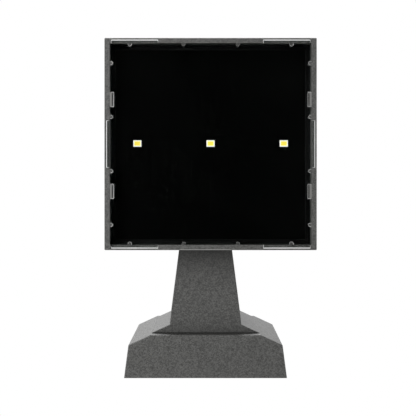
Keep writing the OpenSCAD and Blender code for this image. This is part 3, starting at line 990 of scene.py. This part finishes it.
    @staticmethod
    def _round(piece: bpy.types.Object, edges: Edges) -> None:
        """Adds the modifiers that round the edges and even out the shading.

        Args:
            piece: the object.
            edges: how its edges are rounded.
        """
        bevel = piece.modifiers.new("rounded_edges", "BEVEL")
        bevel.limit_method = "WEIGHT"
        bevel.width = edges.radius
        bevel.segments = edges.segments
        bevel.miter_outer = "MITER_ARC"
        if edges.finish:
            piece.data.materials.append(edges.finish)
            bevel.material = 1
        even = piece.modifiers.new("even_shading", "WEIGHTED_NORMAL")
        even.keep_sharp = True


def dress(node: str, name: str, finish: Material, slot: str, edges: Edges) -> bpy.types.Object:
    """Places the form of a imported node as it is, with rounded edges.

    Args:
        node: the node.
        name: the piece's name.
        finish: its material.
        slot: the record's material slot.
        edges: how its edges are rounded.

    Returns:
        The new object.
    """
    return Form.of_node(node).place(name, finish, slot, (node,), edges=edges)


@dataclass
class WallMount:
    """Plate on the wall, and the screw that locks the base onto it."""

    corner: float = 0.35 * MM
    least: float = 0.6 * MM
    screw_corner: float = 0.3 * MM
    screw_y: float = -7.5 * MM
    head_z: float = 34 * MM
    recess: float = 2.6 * MM
    recess_share: float = 0.2

    def build(self, fin: Finishes) -> None:
        """Builds the plate and the lock screw.

        Args:
            fin: the finishes of the light.
        """
        dress("wall_plate", "wall_plate_moulding", fin.shell, "shell_plastic",
              Edges(self.corner, least=self.least))
        dress("lock_screw", "lock_screw_turned", fin.steel, "screw_steel",
              Edges(self.screw_corner, 3, weigh=self._top_rim))

    def _top_rim(self, a: Vector, b: Vector) -> float:
        """Returns 1 on the rim of the screw's head and less round its recess.

        Args:
            a: one end of the edge.
            b: its other end.
        """
        middle = (a + b) / 2 - Vector((0.0, self.screw_y, 0.0))
        on_rim = math.hypot(middle.x, middle.y) > self.recess and a.z > self.head_z
        return 1.0 if on_rim else self.recess_share


@dataclass
class Base:
    """Faceted base, and the four screws that hold the arm's foot."""

    corner: float = 0.35 * MM
    least: float = 3.0 * MM
    wall_edge: float = 0.2

    def build(self, fin: Finishes) -> None:
        """Builds the base and its screws.

        Args:
            fin: the finishes of the light.
        """
        dress("base_housing", "base_moulding", fin.base_shell, "shell_plastic",
              Edges(self.corner, 3, least=self.least, weigh=self._share))
        dress("arm_screws", "arm_screws_turned", fin.steel, "screw_steel", SCREW_EDGES)

    def _share(self, a: Vector, b: Vector) -> float:
        """Returns less than 1 for the edges that lie on the wall."""
        return self.wall_edge if min(a.y, b.y) > -TOUCH else 1.0


@dataclass
class Arm:
    """Tapered arm with its gabled foot, which meets the base in a shallow groove."""

    groove: float = 0.55 * MM
    least: float = 0.5 * MM
    foot_x: float = 20 * MM
    corner: float = 0.4

    def build(self, fin: Finishes) -> None:
        """Builds the arm.

        Args:
            fin: the finishes of the light.
        """
        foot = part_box("arm")[1].y

        def share(a: Vector, b: Vector) -> float:
            """Returns 1 round the foot's outer edge and less elsewhere."""
            outer = max(abs(a.x), abs(b.x)) > self.foot_x and min(a.y, b.y) > foot - TOUCH
            return 1.0 if outer else self.corner

        dress("arm", "arm_moulding", fin.arm_shell, "shell_plastic",
              Edges(self.groove, 2, least=self.least, weigh=share))


@dataclass
class Head:
    """Square head, and the two screws that hold it on the arm."""

    corner: float = 0.35 * MM
    least: float = 2.0 * MM
    fine: float = 0.25
    near: float = 0.1 * MM
    rim_z: float = -42.0 * MM
    rim_depth: float = 3 * MM
    mouth: float = 42.85 * MM
    side_wall: float = 1.9 * MM
    mouth_shade_tone: float = 0.5
    edge_highlight_tone: float = 1.45
    highlight_half: Pair = (11 * MM, 1 * MM)
    above_arm_highlight_tone: float = 2.5
    catch_at: Pair = (42.38 * MM, 19.5 * MM)
    catch_half: Pair = (0.43 * MM, 2.9 * MM)
    catch_shift: float = 0.6 * MM
    catch_flat: Pair = (41.5 * MM, 42.85 * MM)
    catch_glint_tone: float = 2.3

    def build(self, fin: Finishes) -> None:
        """Builds the head and its screws.

        Args:
            fin: the finishes of the light.
        """
        low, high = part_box("head_housing")
        middle = (low + high) / 2

        def share(a: Vector, b: Vector) -> float:
            """Returns the share of the full radius that an edge gets.

            Args:
                a: one end of the edge.
                b: its other end.
            """
            here = (a + b) / 2
            inside = min(here.x - low.x, high.x - here.x, here.y - low.y, high.y - here.y)
            if inside < self.near or min(a.z, b.z) > self.rim_z + self.rim_depth:
                return 1.0
            flat = self.catch_flat[0] < abs(here.x - middle.x) < self.catch_flat[1]
            on_catch = flat and here.z > self.rim_z + self.near
            return 0.0 if on_catch or abs(a.z - b.z) > self.near else self.fine

        # painted shade: inside the mouth the shell is smooth and painted darker, as the shade in the
        # recess
        shaded_mouth = Patch((middle.x, middle.y), (self.mouth - self.side_wall, self.mouth), self.mouth_shade_tone)
        # painted highlight: the catches' faces are smooth and painted much lighter, as glints
        catch_glints = [
            Patch((middle.x + sx * self.catch_at[0], middle.y + self.catch_shift + sy * self.catch_at[1]),
                  self.catch_half, self.catch_glint_tone)
            for sx in (-1, 1) for sy in (-1, 1)
        ]
        shell = ErodedPlastic("shell_with_painted_shade_and_glints", GREY, patches=(shaded_mouth, *catch_glints)).make()
        # painted highlight: the head's rounded edges are painted lighter, and lighter still in a strip
        # above the arm, standing in for light caught on those edges
        above_arm = Patch((0.0, high.y), self.highlight_half, self.above_arm_highlight_tone)
        highlighted_edges = ErodedPlastic("edge_highlight_shell", shade(GREY, self.edge_highlight_tone), patches=(above_arm,)).make()
        dress("head_housing", "head_moulding", shell, "shell_plastic",
              Edges(self.corner, 3, least=self.least, weigh=share, finish=highlighted_edges))
        dress("head_screws", "head_screws_turned", fin.steel, "screw_steel", SCREW_EDGES)


@dataclass
class Cover:
    """Clear cover with tabs and skirt, and the seal above its skirt."""

    edge: float = 0.42 * MM
    tab_reach: float = 0.5 * MM
    tab_width: float = 10 * MM
    tab_end: float = 0.4
    tab_side: float = 0.7
    tab_front: float = 0.86
    skirt: float = 0.02 * MM
    notch: float = 0.2
    inner_notch: float = 0.08
    inner_x: float = 20 * MM
    seal_edge: float = 0.2 * MM

    def build(self, fin: Finishes) -> None:
        """Builds the cover and the seal.

        Args:
            fin: the finishes of the light.
        """
        low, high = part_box("clear_cover")
        middle = (low + high) / 2
        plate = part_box("cover_seal")[1].x - middle.x

        def share(a: Vector, b: Vector) -> float:
            """Returns the share of the full width that an edge gets.

            Args:
                a: one end of the edge.
                b: its other end.
            """
            here = (a + b) / 2 - middle
            reach = max(abs(here.x), abs(here.y))
            front = abs(here.y) > abs(here.x)
            if max(a.z, b.z) - low.z > TOUCH:
                return 0.0
            if reach > plate + self.tab_reach:
                if abs(a.x - b.x) + abs(a.y - b.y) < self.tab_width:
                    return self.tab_end
                return self.tab_front if front else self.tab_side
            if reach > plate - self.skirt:
                return 0.0
            return self.inner_notch if front and abs(here.x) < self.inner_x else self.notch

        # the cover's rounded edges get the lit edge finish, whose pale colour and glow paint glints along
        # them
        dress("clear_cover", "cover_moulding", fin.clear, "clear_plastic",
              Edges(self.edge, 1, weigh=share, finish=fin.lit_edge))
        dress("cover_seal", "seal_ring", fin.rubber, "seal_rubber", Edges(self.seal_edge, 3))


@dataclass
class LampBoard:
    """Black board with three LEDs. The size of their feet is in millimetres."""

    board_edge: float = 0.15 * MM
    frame_edge: float = 0.08 * MM
    cup_mouth: Pair = (1.36 * MM, 1.01 * MM)
    cup_floor: Pair = (1.28 * MM, 0.93 * MM)
    cup_depth: float = 0.45 * MM
    gel_in: float = 0.02 * MM
    gel_fill: Pair = (0.99, 0.985)
    gel_corner: float = 0.12 * MM
    sag: float = 0.05 * MM
    sag_steps: tuple[float, ...] = (0.85, 0.6, 0.3)
    foot: Point = (0.05, 0.8, 0.25)
    foot_out: float = 0.02 * MM
    pitch: float = 31.5 * MM

    def build(self, fin: Finishes) -> None:
        """Builds the board, the LED frames and their gel.

        Args:
            fin: the finishes of the light.
        """
        dress("led_board", "lamp_board_sheet", fin.lamp_board, "board_black", Edges(self.board_edge))
        low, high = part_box("led_packages")
        row_x, row_y = (low.x + high.x) / 2, (low.y + high.y) / 2
        half = ((high.x - low.x) / 2 - self.pitch, (high.y - low.y) / 2)
        frames, gel, feet = Form(), Form(), Form()
        thick, wide, tall = self.foot
        for i in (-1, 0, 1):
            x = row_x + i * self.pitch
            self._frame(frames, (x, row_y), half, low.z, high.z)
            self._gel(gel, (x, row_y), low.z)
            for side in (-1, 1):
                end = (x + side * (half[0] + self.foot_out), row_y, high.z)
                feet.box(shift(end, (-thick, -wide, -tall)), shift(end, (thick, wide, 0.0)))
        glow = Phosphor("yellow_gel", (row_x, row_y), self.pitch, self.cup_mouth).make()
        frames.place("lamp_frames", fin.white, "led_white", ("led_packages",))
        gel.place("lamp_gel", glow, "led_phosphor", ("led_phosphors",))
        feet.place("lamp_feet", fin.nickel, "contact_nickel")

    def _frame(self, form: Form, at: Pair, half: Pair, low: float, high: float) -> None:
        """Adds one LED's frame with its sloping cup.

        Args:
            form: the form that it goes into.
            at: x and y of its middle.
            half: half its length and half its width.
            low: height of its face.
            high: height of the board's face.
        """
        e = self.frame_edge
        form.loft([
            rectangle((*at, high), half, e),
            rectangle((*at, low + e), half, e),
            rectangle((*at, low), (half[0] - e, half[1] - e), e),
            rectangle((*at, low), self.cup_mouth, 2 * e),
            rectangle((*at, low + self.cup_depth), self.cup_floor, 2 * e),
        ])

    def _gel(self, form: Form, at: Pair, low: float) -> None:
        """Adds the gel that fills one cup, hollowed a little in its middle.

        Args:
            form: the form that it goes into.
            at: x and y of its middle.
            low: height of the LED's face.
        """
        face = low + self.gel_in
        floor_fill, mouth_fill = self.gel_fill
        rings = [
            rectangle((*at, low + self.cup_depth), shrink(self.cup_floor, floor_fill), self.gel_corner),
            rectangle((*at, face), shrink(self.cup_mouth, mouth_fill), self.gel_corner),
        ]
        for share in self.sag_steps:
            z = face + self.sag * (1 - share**2)
            rings.append(rectangle((*at, z), shrink(self.cup_mouth, share), self.gel_corner * share))
        form.loft(rings)


@dataclass
class SolarPanel:
    """Solar panel on the head: glass, cells, ribbons, backing sheet and tape."""

    glass_edge: float = 0.4 * MM
    cell_edge: float = 0.05 * MM
    ribbon_edge: float = 0.04 * MM
    sheet_edge: float = 0.15 * MM
    tape_edge: float = 0.1 * MM

    def build(self, fin: Finishes) -> None:
        """Builds the panel.

        Args:
            fin: the finishes of the light.
        """
        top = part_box("panel_glass")[1].z

        def upper(a: Vector, b: Vector) -> float:
            """Returns 1 on the edges of the glass's outer face."""
            return 1.0 if min(a.z, b.z) > top - TOUCH else 0.0

        dress("panel_glass", "panel_glass_sheet", fin.glass, "panel_clear",
              Edges(self.glass_edge, 3, weigh=upper))
        dress("solar_cells", "cell_strips", fin.silicon, "cell_blue", Edges(self.cell_edge))
        dress("cell_ribbons", "tinned_ribbons", fin.tin, "contact_nickel", Edges(self.ribbon_edge))
        dress("panel_back", "backing_sheet", fin.sheet, "panel_white", Edges(self.sheet_edge))
        dress("panel_tape", "foam_tape", fin.foam, "tape_white", Edges(self.tape_edge))


@dataclass
class PowerPack:
    """Battery cell in its holder, with the two contacts."""

    sleeve: float = 0.12 * MM
    shoulder: float = 0.5 * MM
    fold: float = 0.4 * MM
    gap: float = 0.02 * MM
    nub: Pair = (1.0 * MM, 2.7 * MM)
    nub_edge: float = 0.2 * MM
    end_shares: Pair = (0.82, 0.8)
    sleeve_bend: float = 0.35 * MM
    sleeve_over: float = 0.03 * MM
    sleeve_under: float = 0.1 * MM
    tray_edge: float = 0.25 * MM
    strip_edge: float = 0.1 * MM

    def build(self, fin: Finishes) -> None:
        """Builds the cell, the holder and the contacts.

        Args:
            fin: the finishes of the light.
        """
        low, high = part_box("battery_cell")
        r = (high.z - low.z) / 2
        at = (low.x, (low.y + high.y) / 2, low.z + r)
        length = high.x - low.x - self.nub[0]
        inner, neck, bend = r - self.sleeve, r - self.shoulder, r - self.fold
        foot, top = (r * share for share in self.end_shares)
        Form().turned(at, Axis.X, self._can(length, inner, neck, top)).place(
            "cell_can", fin.nickel, "contact_nickel"
        )
        over = length + self.sleeve_over
        wrap = [
            (0.0, foot), (0.0, bend), (self.fold, r), (length - self.sleeve_bend, r), (over, bend),
            (over, top), (length - self.sleeve_under, top), (length - self.shoulder, inner),
            (self.shoulder, inner), (self.sleeve_under, foot),
        ]
        Form().turned(at, Axis.X, wrap, ends=Ends.JOINED).place(
            "cell_wrap", fin.sleeve, "battery_sleeve", ("battery_cell",)
        )
        dress("battery_holder", "holder_tray", fin.black, "holder_black", Edges(self.tray_edge))
        dress("battery_contacts", "contact_strips", fin.nickel, "contact_nickel", Edges(self.strip_edge))

    def _can(self, length: float, inner: float, neck: float, flat: float) -> list[Pair]:
        """Returns the profile of the cell's can, with the nub on its far end.

        Args:
            length: length of the can without its nub.
            inner: its radius under the sleeve.
            neck: radius at the two shoulders.
            flat: radius of the flat end.
        """
        nub_h, nub_r = self.nub
        e = self.nub_edge
        return [
            (self.gap, flat), (self.gap, neck), (self.shoulder, inner), (length - self.fold, inner),
            (length, neck), (length, nub_r + 3 * e), (length + e / 2, nub_r + e),
            (length + 1.5 * e, nub_r), (length + nub_h - e, nub_r), (length + nub_h, nub_r - e),
        ]


@dataclass
class Driver:
    """Driver board, the parts soldered on it and its two screws.

    Profiles, places and sizes whose names end in _mm are in millimetres. Places are counted
    from the corners of the parts' box, and heights from the board's face.
    """

    board_edge: float = 0.08 * MM
    chip_at_mm: Point = (0.5, 0.0, -1.5)
    chip_mm: Point = (5.0, 3.9, 1.4)
    chip_corner: float = 0.15 * MM
    chip_lift: float = 0.1 * MM
    legs: int = 4
    leg_pitch: float = 1.27 * MM
    leg_mm: tuple[Pair, ...] = ((-0.1, 0.8), (0.35, 0.8), (0.5, 0.12), (0.95, 0.12))
    leg_radius: float = 0.12 * MM
    choke_at_mm: Point = (3.0, -3.0, 0.0)
    drum_mm: tuple[Pair, ...] = (
        (0.0, 2.8), (-0.1, 3.0), (-0.7, 3.0), (-0.8, 2.2),
        (-2.7, 2.2), (-2.8, 3.0), (-3.4, 3.0), (-3.5, 2.8),
    )
    turns: int = 6
    turn_mm: Pair = (0.95, 0.32)
    wire_mm: tuple[Pair, ...] = ((0.0, 2.72), (-0.14, 2.6), (0.0, 2.46), (0.14, 2.6))
    capacitor_at_mm: Point = (-2.5, -3.0, 0.0)
    can_mm: tuple[Pair, ...] = (
        (0.0, 2.3), (-0.1, 2.5), (-0.8, 2.5), (-1.0, 2.25),
        (-1.3, 2.25), (-1.5, 2.5), (-4.6, 2.5), (-4.9, 2.3),
    )
    lid_mm: tuple[Pair, ...] = ((-4.88, 2.2), (-4.98, 2.1), (-5.0, 1.9))
    diode_at_mm: Point = (-6.5, 2.4, 0.0)
    diode_mm: tuple[Point, Point] = ((0.3, 0.0, -1.2), (3.7, 2.0, -0.05))
    diode_corner: float = 0.12 * MM
    tab_mm: tuple[Point, Point] = ((0.0, 0.5, -0.6), (0.4, 1.5, 0.0))
    tab_ends_mm: Pair = (0.0, 3.6)

    def build(self, fin: Finishes) -> None:
        """Builds the board, its parts and its screws.

        Args:
            fin: the finishes of the light.
        """
        dress("driver_board", "driver_sheet", fin.green_board, "board_green", Edges(self.board_edge))
        dress("driver_screws", "driver_screws_turned", fin.steel, "screw_steel", SCREW_EDGES)
        low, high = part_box("driver_chips")
        face = high.z
        bodies, metal = Form(), Form()
        self._chip(bodies, metal, shift((low.x, low.y, face), self.chip_at_mm))
        self._choke(bodies, metal, shift((low.x, high.y, face), self.choke_at_mm))
        self._capacitor(bodies, metal, shift((high.x, high.y, face), self.capacitor_at_mm))
        self._diode(bodies, metal, shift((high.x, low.y, face), self.diode_at_mm))
        bodies.place("driver_parts", fin.epoxy, "chip_black", ("driver_chips",))
        metal.place("driver_terminals", fin.copper, "contact_nickel")

    def _chip(self, bodies: Form, metal: Form, low: Point) -> None:
        """Adds the controller, with legs on its two long sides.

        Args:
            bodies: the form of the plastic parts.
            metal: the form of the metal parts.
            low: its lowest corner.
        """
        high = shift(low, self.chip_mm)
        bodies.box(low, high, self.chip_corner)
        face = high[2] + self.chip_lift
        for i in range(self.legs):
            x = (low[0] + high[0]) / 2 + (i - (self.legs - 1) / 2) * self.leg_pitch
            for y, out in ((low[1], -1), (high[1], 1)):
                path = [(x, y + out * along, face - down) for along, down in in_mm(self.leg_mm)]
                metal.tube(path, self.leg_radius, self.chip_lift, 6)

    def _choke(self, bodies: Form, metal: Form, at: Point) -> None:
        """Adds the choke, a drum with a winding round its waist.

        Args:
            bodies: the form of the plastic parts.
            metal: the form of the metal parts.
            at: the middle of its foot.
        """
        bodies.turned(at, Axis.Z, in_mm(self.drum_mm))
        start, pitch = self.turn_mm
        for i in range(self.turns):
            z = at[2] - (start + pitch * i) * MM
            rings = [circle((at[0], at[1], z + along), Axis.Z, r) for along, r in in_mm(self.wire_mm)]
            metal.loft(rings, Ends.JOINED)

    def _capacitor(self, bodies: Form, metal: Form, at: Point) -> None:
        """Adds the capacitor, a can with a groove and a rounded top.

        Args:
            bodies: the form of the plastic parts.
            metal: the form of the metal parts.
            at: the middle of its foot.
        """
        bodies.turned(at, Axis.Z, in_mm(self.can_mm))
        metal.turned(at, Axis.Z, in_mm(self.lid_mm))

    def _diode(self, bodies: Form, metal: Form, at: Point) -> None:
        """Adds the diode, a block with a folded tab at each end.

        Args:
            bodies: the form of the plastic parts.
            metal: the form of the metal parts.
            at: the corner that its measures are counted from.
        """
        bodies.box(*(shift(at, corner) for corner in self.diode_mm), self.diode_corner)
        for x in self.tab_ends_mm:
            end = shift(at, (x, 0.0, 0.0))
            metal.box(*(shift(end, corner) for corner in self.tab_mm))


@dataclass
class Wiring:
    """Leads between the panel, the cell, the switch, the LEDs and the driver board."""

    radius: float = 0.6 * MM
    gap: float = 1.8 * MM
    bend: float = 2.2 * MM
    drop: float = 2.0 * MM
    pad_in: float = 2 * MM
    row_in: float = 4 * MM
    joint_mm: tuple[Pair, ...] = ((0.0, 1.1), (-0.1, 1.08), (-0.35, 0.9), (-0.6, 0.72), (-0.7, 0.64))

    def build(self, fin: Finishes) -> None:
        """Builds the leads and their solder joints.

        Args:
            fin: the finishes of the light.
        """
        low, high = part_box("driver_board")
        face = low.z
        left, right = low.x + self.pad_in, high.x - self.pad_in
        pads_y, row_y = low.y + self.pad_in, low.y + self.row_in
        ends = ((right, pads_y), (left, row_y))
        panel, cell = self._from_panel(left, row_y, high.z), self._from_cell(ends, face)
        lamps, switch = self._from_lamps(pads_y, face), self._from_switch(right, face)
        self._bundle("panel_pair", fin.red, "lead_red", "panel_leads", panel)
        self._bundle("cell_pair", fin.red, "lead_red", "battery_leads", cell)
        self._bundle("lamp_pair", fin.red, "lead_red", "led_leads", lamps)
        self._bundle("switch_pair", fin.wire_black, "lead_black", "switch_leads", switch)
        joints = Form()
        for x, y in ends:
            joints.turned((x, y, face), Axis.Z, in_mm(self.joint_mm))
        joints.place("solder_joints", fin.nickel, "contact_nickel")

    def _from_panel(self, end_x: float, end_y: float, back: float) -> list[list[Point]]:
        """Returns the routes from the panel, through the deck, to the back of the board.

        Args:
            end_x: x of their ends on the board.
            end_y: y midway between their ends.
            back: height of the board's back.
        """
        low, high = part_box("panel_leads")
        x = low.x + self.radius
        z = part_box("battery_holder")[1].z - self.drop
        rows = (end_y - side * self.gap / 2 for side in (-1, 1))
        return [[(x, y, high.z), (x, y, z), (end_x, y, z), (end_x, y, back)] for y in rows]

    def _from_cell(self, ends: tuple[Pair, Pair], face: float) -> list[list[Point]]:
        """Returns the routes from the cell's two contacts to the board.

        Args:
            ends: x and y of their ends on the board.
            face: height of the board's face.
        """
        low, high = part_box("battery_leads")
        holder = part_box("battery_contacts")
        start_y = (holder[0].y + holder[1].y) / 2
        z = face - self.drop
        starts = (high.x - self.radius, low.x + self.radius)
        return [
            [(x, start_y, low.z), (x, start_y, z), (x, y, z), (pad, y, z), (pad, y, face)]
            for x, (pad, y) in zip(starts, ends)
        ]

    def _from_lamps(self, end_y: float, face: float) -> list[list[Point]]:
        """Returns the routes from the LED board to the driver board.

        Args:
            end_y: y of their ends on the driver board.
            face: height of the driver board's face.
        """
        low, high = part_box("led_leads")
        y, z = low.y + self.radius, (face + low.z) / 2
        return [
            [(x, end_y, face), (x, end_y, z), (x, y, z), (x, y, low.z)]
            for x in (low.x + self.radius, high.x - self.radius)
        ]

    def _from_switch(self, end_x: float, face: float) -> list[list[Point]]:
        """Returns the routes from the switch to the board.

        Args:
            end_x: x of their ends on the board.
            face: height of the board's face.
        """
        low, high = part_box("switch_body")
        mid_x, z = (low.x + high.x) / 2, (low.z + high.z) / 2
        routes = []
        for side in (-1, 1):
            x, y = mid_x + side * self.gap / 2, low.y - 2 * self.drop - side * self.gap / 2
            routes.append([(x, low.y, z), (x, y, z), (end_x, y, z), (end_x, y, face)])
        return routes

    def _bundle(
        self, name: str, finish: Material, slot: str, node: str, routes: list[list[Point]]
    ) -> None:
        """Builds the leads that share a node.

        Args:
            name: the piece's name.
            finish: the insulation's material.
            slot: the record's material slot.
            node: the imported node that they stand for.
            routes: the corners and ends of each lead.
        """
        form = Form()
        for route in routes:
            form.tube(route, self.radius, self.bend)
        form.place(name, finish, slot, (node,))


@dataclass
class Switch:
    """Push button, its gasket and the switch behind it.

    The dished face and the rounded corner are given in shares of their depth and radius, and
    the stem in (distance, radius) pairs in millimetres.
    """

    radius: float = 4.0 * MM
    dish: float = 0.25 * MM
    dish_shares: tuple[Pair, ...] = ((1.0, 0.05), (0.85, 0.35), (0.3, 0.7))
    corner: float = 0.5 * MM
    corner_shares: tuple[Pair, ...] = ((0.0, 1.8), (0.04, 1.0), (0.3, 0.3), (1.0, 0.0))
    stem_mm: tuple[Pair, ...] = (
        (2.75, 4.0), (2.78, 5.25), (2.85, 5.3), (3.5, 5.3), (3.55, 5.2),
        (3.56, 1.6), (3.7, 1.5), (6.35, 1.5), (6.55, 1.3),
    )
    gasket_edge: float = 0.15 * MM
    body_edge: float = 0.2 * MM
    least: float = 2.0 * MM

    def build(self, fin: Finishes) -> None:
        """Builds the button, the gasket and the switch body.

        Args:
            fin: the finishes of the light.
        """
        low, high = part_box("switch_button")
        at = ((low.x + high.x) / 2, high.y, (low.z + high.z) / 2)
        r, c = self.radius, self.corner
        face = [(self.dish * depth, r * share) for depth, share in self.dish_shares]
        corner = [(c * depth, r - c * share) for depth, share in self.corner_shares]
        profile = [(-along, radius) for along, radius in face + corner + in_mm(self.stem_mm)]
        Form().turned(at, Axis.Y, profile).place(
            "button_cap", fin.button, "button_grey", ("switch_button",), Body.BUTTON
        )
        dress("switch_gasket", "gasket_ring", fin.rubber, "seal_rubber", Edges(self.gasket_edge))
        dress("switch_body", "switch_block", fin.black, "holder_black",
              Edges(self.body_edge, least=self.least))


@dataclass(frozen=True)
class Lamp:
    """Square soft lamp, with its side in metres and its power in watts."""

    name: str
    at: Point
    side: float
    power: float

    def build(self, aim: Point) -> None:
        """Adds the lamp, turned towards a point.

        Args:
            aim: the point.
        """
        data = bpy.data.lights.new(self.name, "AREA")
        data.size = self.side
        data.energy = self.power
        lamp = bpy.data.objects.new(self.name, data)
        lamp.location = self.at
        lamp.rotation_euler = (Vector(aim) - Vector(self.at)).to_track_quat("-Z", "Y").to_euler()
        lamp.visible_camera = False
        bpy.context.scene.collection.objects.link(lamp)


@dataclass(frozen=True)
class Studio:
    """Camera, lamps, floor and world, as the photograph shows the light."""

    eye: Point = (0.00065, -0.081, -0.4866)
    focal_px: float = 1049.0
    centre_px: Pair = (207.0, 190.0)
    image_px: float = 416.0
    sensor: float = 36.0
    clip: Pair = (0.01, 50.0)
    aim: Point = (0.0, -0.07, -0.02)
    lamps: tuple[Lamp, ...] = (
        Lamp("key", (-0.34, -0.24, -0.33), 0.4, 2.0),
        Lamp("side", (-0.35, -0.05, -0.3), 0.35, 0.5),
        Lamp("top", (-0.15, -1.0, 0.9), 0.9, 8.5),
    )
    ambient: float = 0.58
    floor_z: float = -0.75
    floor_half: Pair = (6.0, 6.0)
    floor_colour: Colour = (0.8, 0.8, 0.8)
    floor_glow: float = 0.3
    card_half: Pair = (0.105, 0.36)
    card_gap: float = 0.03

    def build(self) -> None:
        """Builds the whole studio."""
        bpy.context.scene.view_settings.view_transform = "Standard"
        self._camera()
        self._world()
        for lamp in self.lamps:
            lamp.build(self.aim)
        self._floor()
        self._card()

    def _camera(self) -> None:
        """Sets the camera below the light, looking straight up, with -Y up in the picture."""
        data = bpy.data.cameras.new("camera")
        data.sensor_width = self.sensor
        data.lens = self.focal_px / self.image_px * self.sensor
        data.shift_x = 0.5 - self.centre_px[0] / self.image_px
        data.shift_y = self.centre_px[1] / self.image_px - 0.5
        data.clip_start, data.clip_end = self.clip
        camera = bpy.data.objects.new("camera", data)
        camera.location = self.eye
        camera.rotation_euler = (math.pi, 0.0, 0.0)
        bpy.context.scene.collection.objects.link(camera)
        bpy.context.scene.camera = camera

    def _world(self) -> None:
        """Makes the world white where it is seen and plain where it only lights."""
        world = bpy.data.worlds.new("studio")
        bpy.context.scene.world = world
        g = Graph(world)
        level = g.rays("Camera", "Glossy", "Transmission") * (1.0 - self.ambient) + self.ambient
        back = g.node("ShaderNodeBackground", inputs={"Color": WHITE, "Strength": level})
        g.node("ShaderNodeOutputWorld", inputs={"Surface": back})

    @staticmethod
    def _sheet(name: str, half: Pair, at: Point, finish: Material) -> bpy.types.Object:
        """Adds a level sheet of the studio.

        Args:
            name: its name.
            half: half its length along x and along y.
            at: its middle.
            finish: its material.

        Returns:
            The new object.
        """
        mesh = bpy.data.meshes.new(name)
        signs = ((-1, -1), (1, -1), (1, 1), (-1, 1))
        corners = [(at[0] + sx * half[0], at[1] + sy * half[1], at[2]) for sx, sy in signs]
        mesh.from_pydata(corners, [], [(0, 1, 2, 3)])
        mesh.materials.append(finish)
        sheet = bpy.data.objects.new(name, mesh)
        bpy.context.scene.collection.objects.link(sheet)
        return sheet

    def _floor(self) -> None:
        """Adds the pale floor, which shines a little where it is seen."""
        g = Graph.named("pale_floor")
        matt = g.node("ShaderNodeBsdfDiffuse", inputs={"Color": self.floor_colour})
        glow = g.node("ShaderNodeEmission", inputs={"Color": WHITE, "Strength": self.floor_glow})
        both = g.node("ShaderNodeAddShader", inputs={0: matt, 1: glow})
        mixed = g.node("ShaderNodeMixShader", inputs={0: g.rays("Camera"), 1: matt, 2: both})
        self._sheet("floor", self.floor_half, (0.0, 0.0, self.floor_z), g.end(mixed))

    def _card(self) -> None:
        """Adds the dark card round the camera, which only the gloss of the light shows: a black sheet
        that paints dark reflections and nothing else.
        """
        g = Graph.named("dark_card")
        black = g.end(g.node("ShaderNodeBsdfDiffuse", inputs={"Color": BLACK}))
        x, y, z = self.eye
        card = self._sheet("card", self.card_half, (x, y, z - self.card_gap), black)
        card.visible_camera = False
        card.visible_diffuse = False
        card.visible_shadow = False


def main() -> None:
    """Builds the light and its studio."""
    logging.basicConfig(level=logging.INFO, format="%(message)s")
    finishes = Finishes()
    parts = (WallMount, Base, Arm, Head, Cover, LampBoard, SolarPanel, PowerPack, Driver, Wiring, Switch)
    for part in parts:
        part().build(finishes)
        log.info("%s is ready", part.__name__)
    Studio().build()


if __name__ == "__main__":
    main()
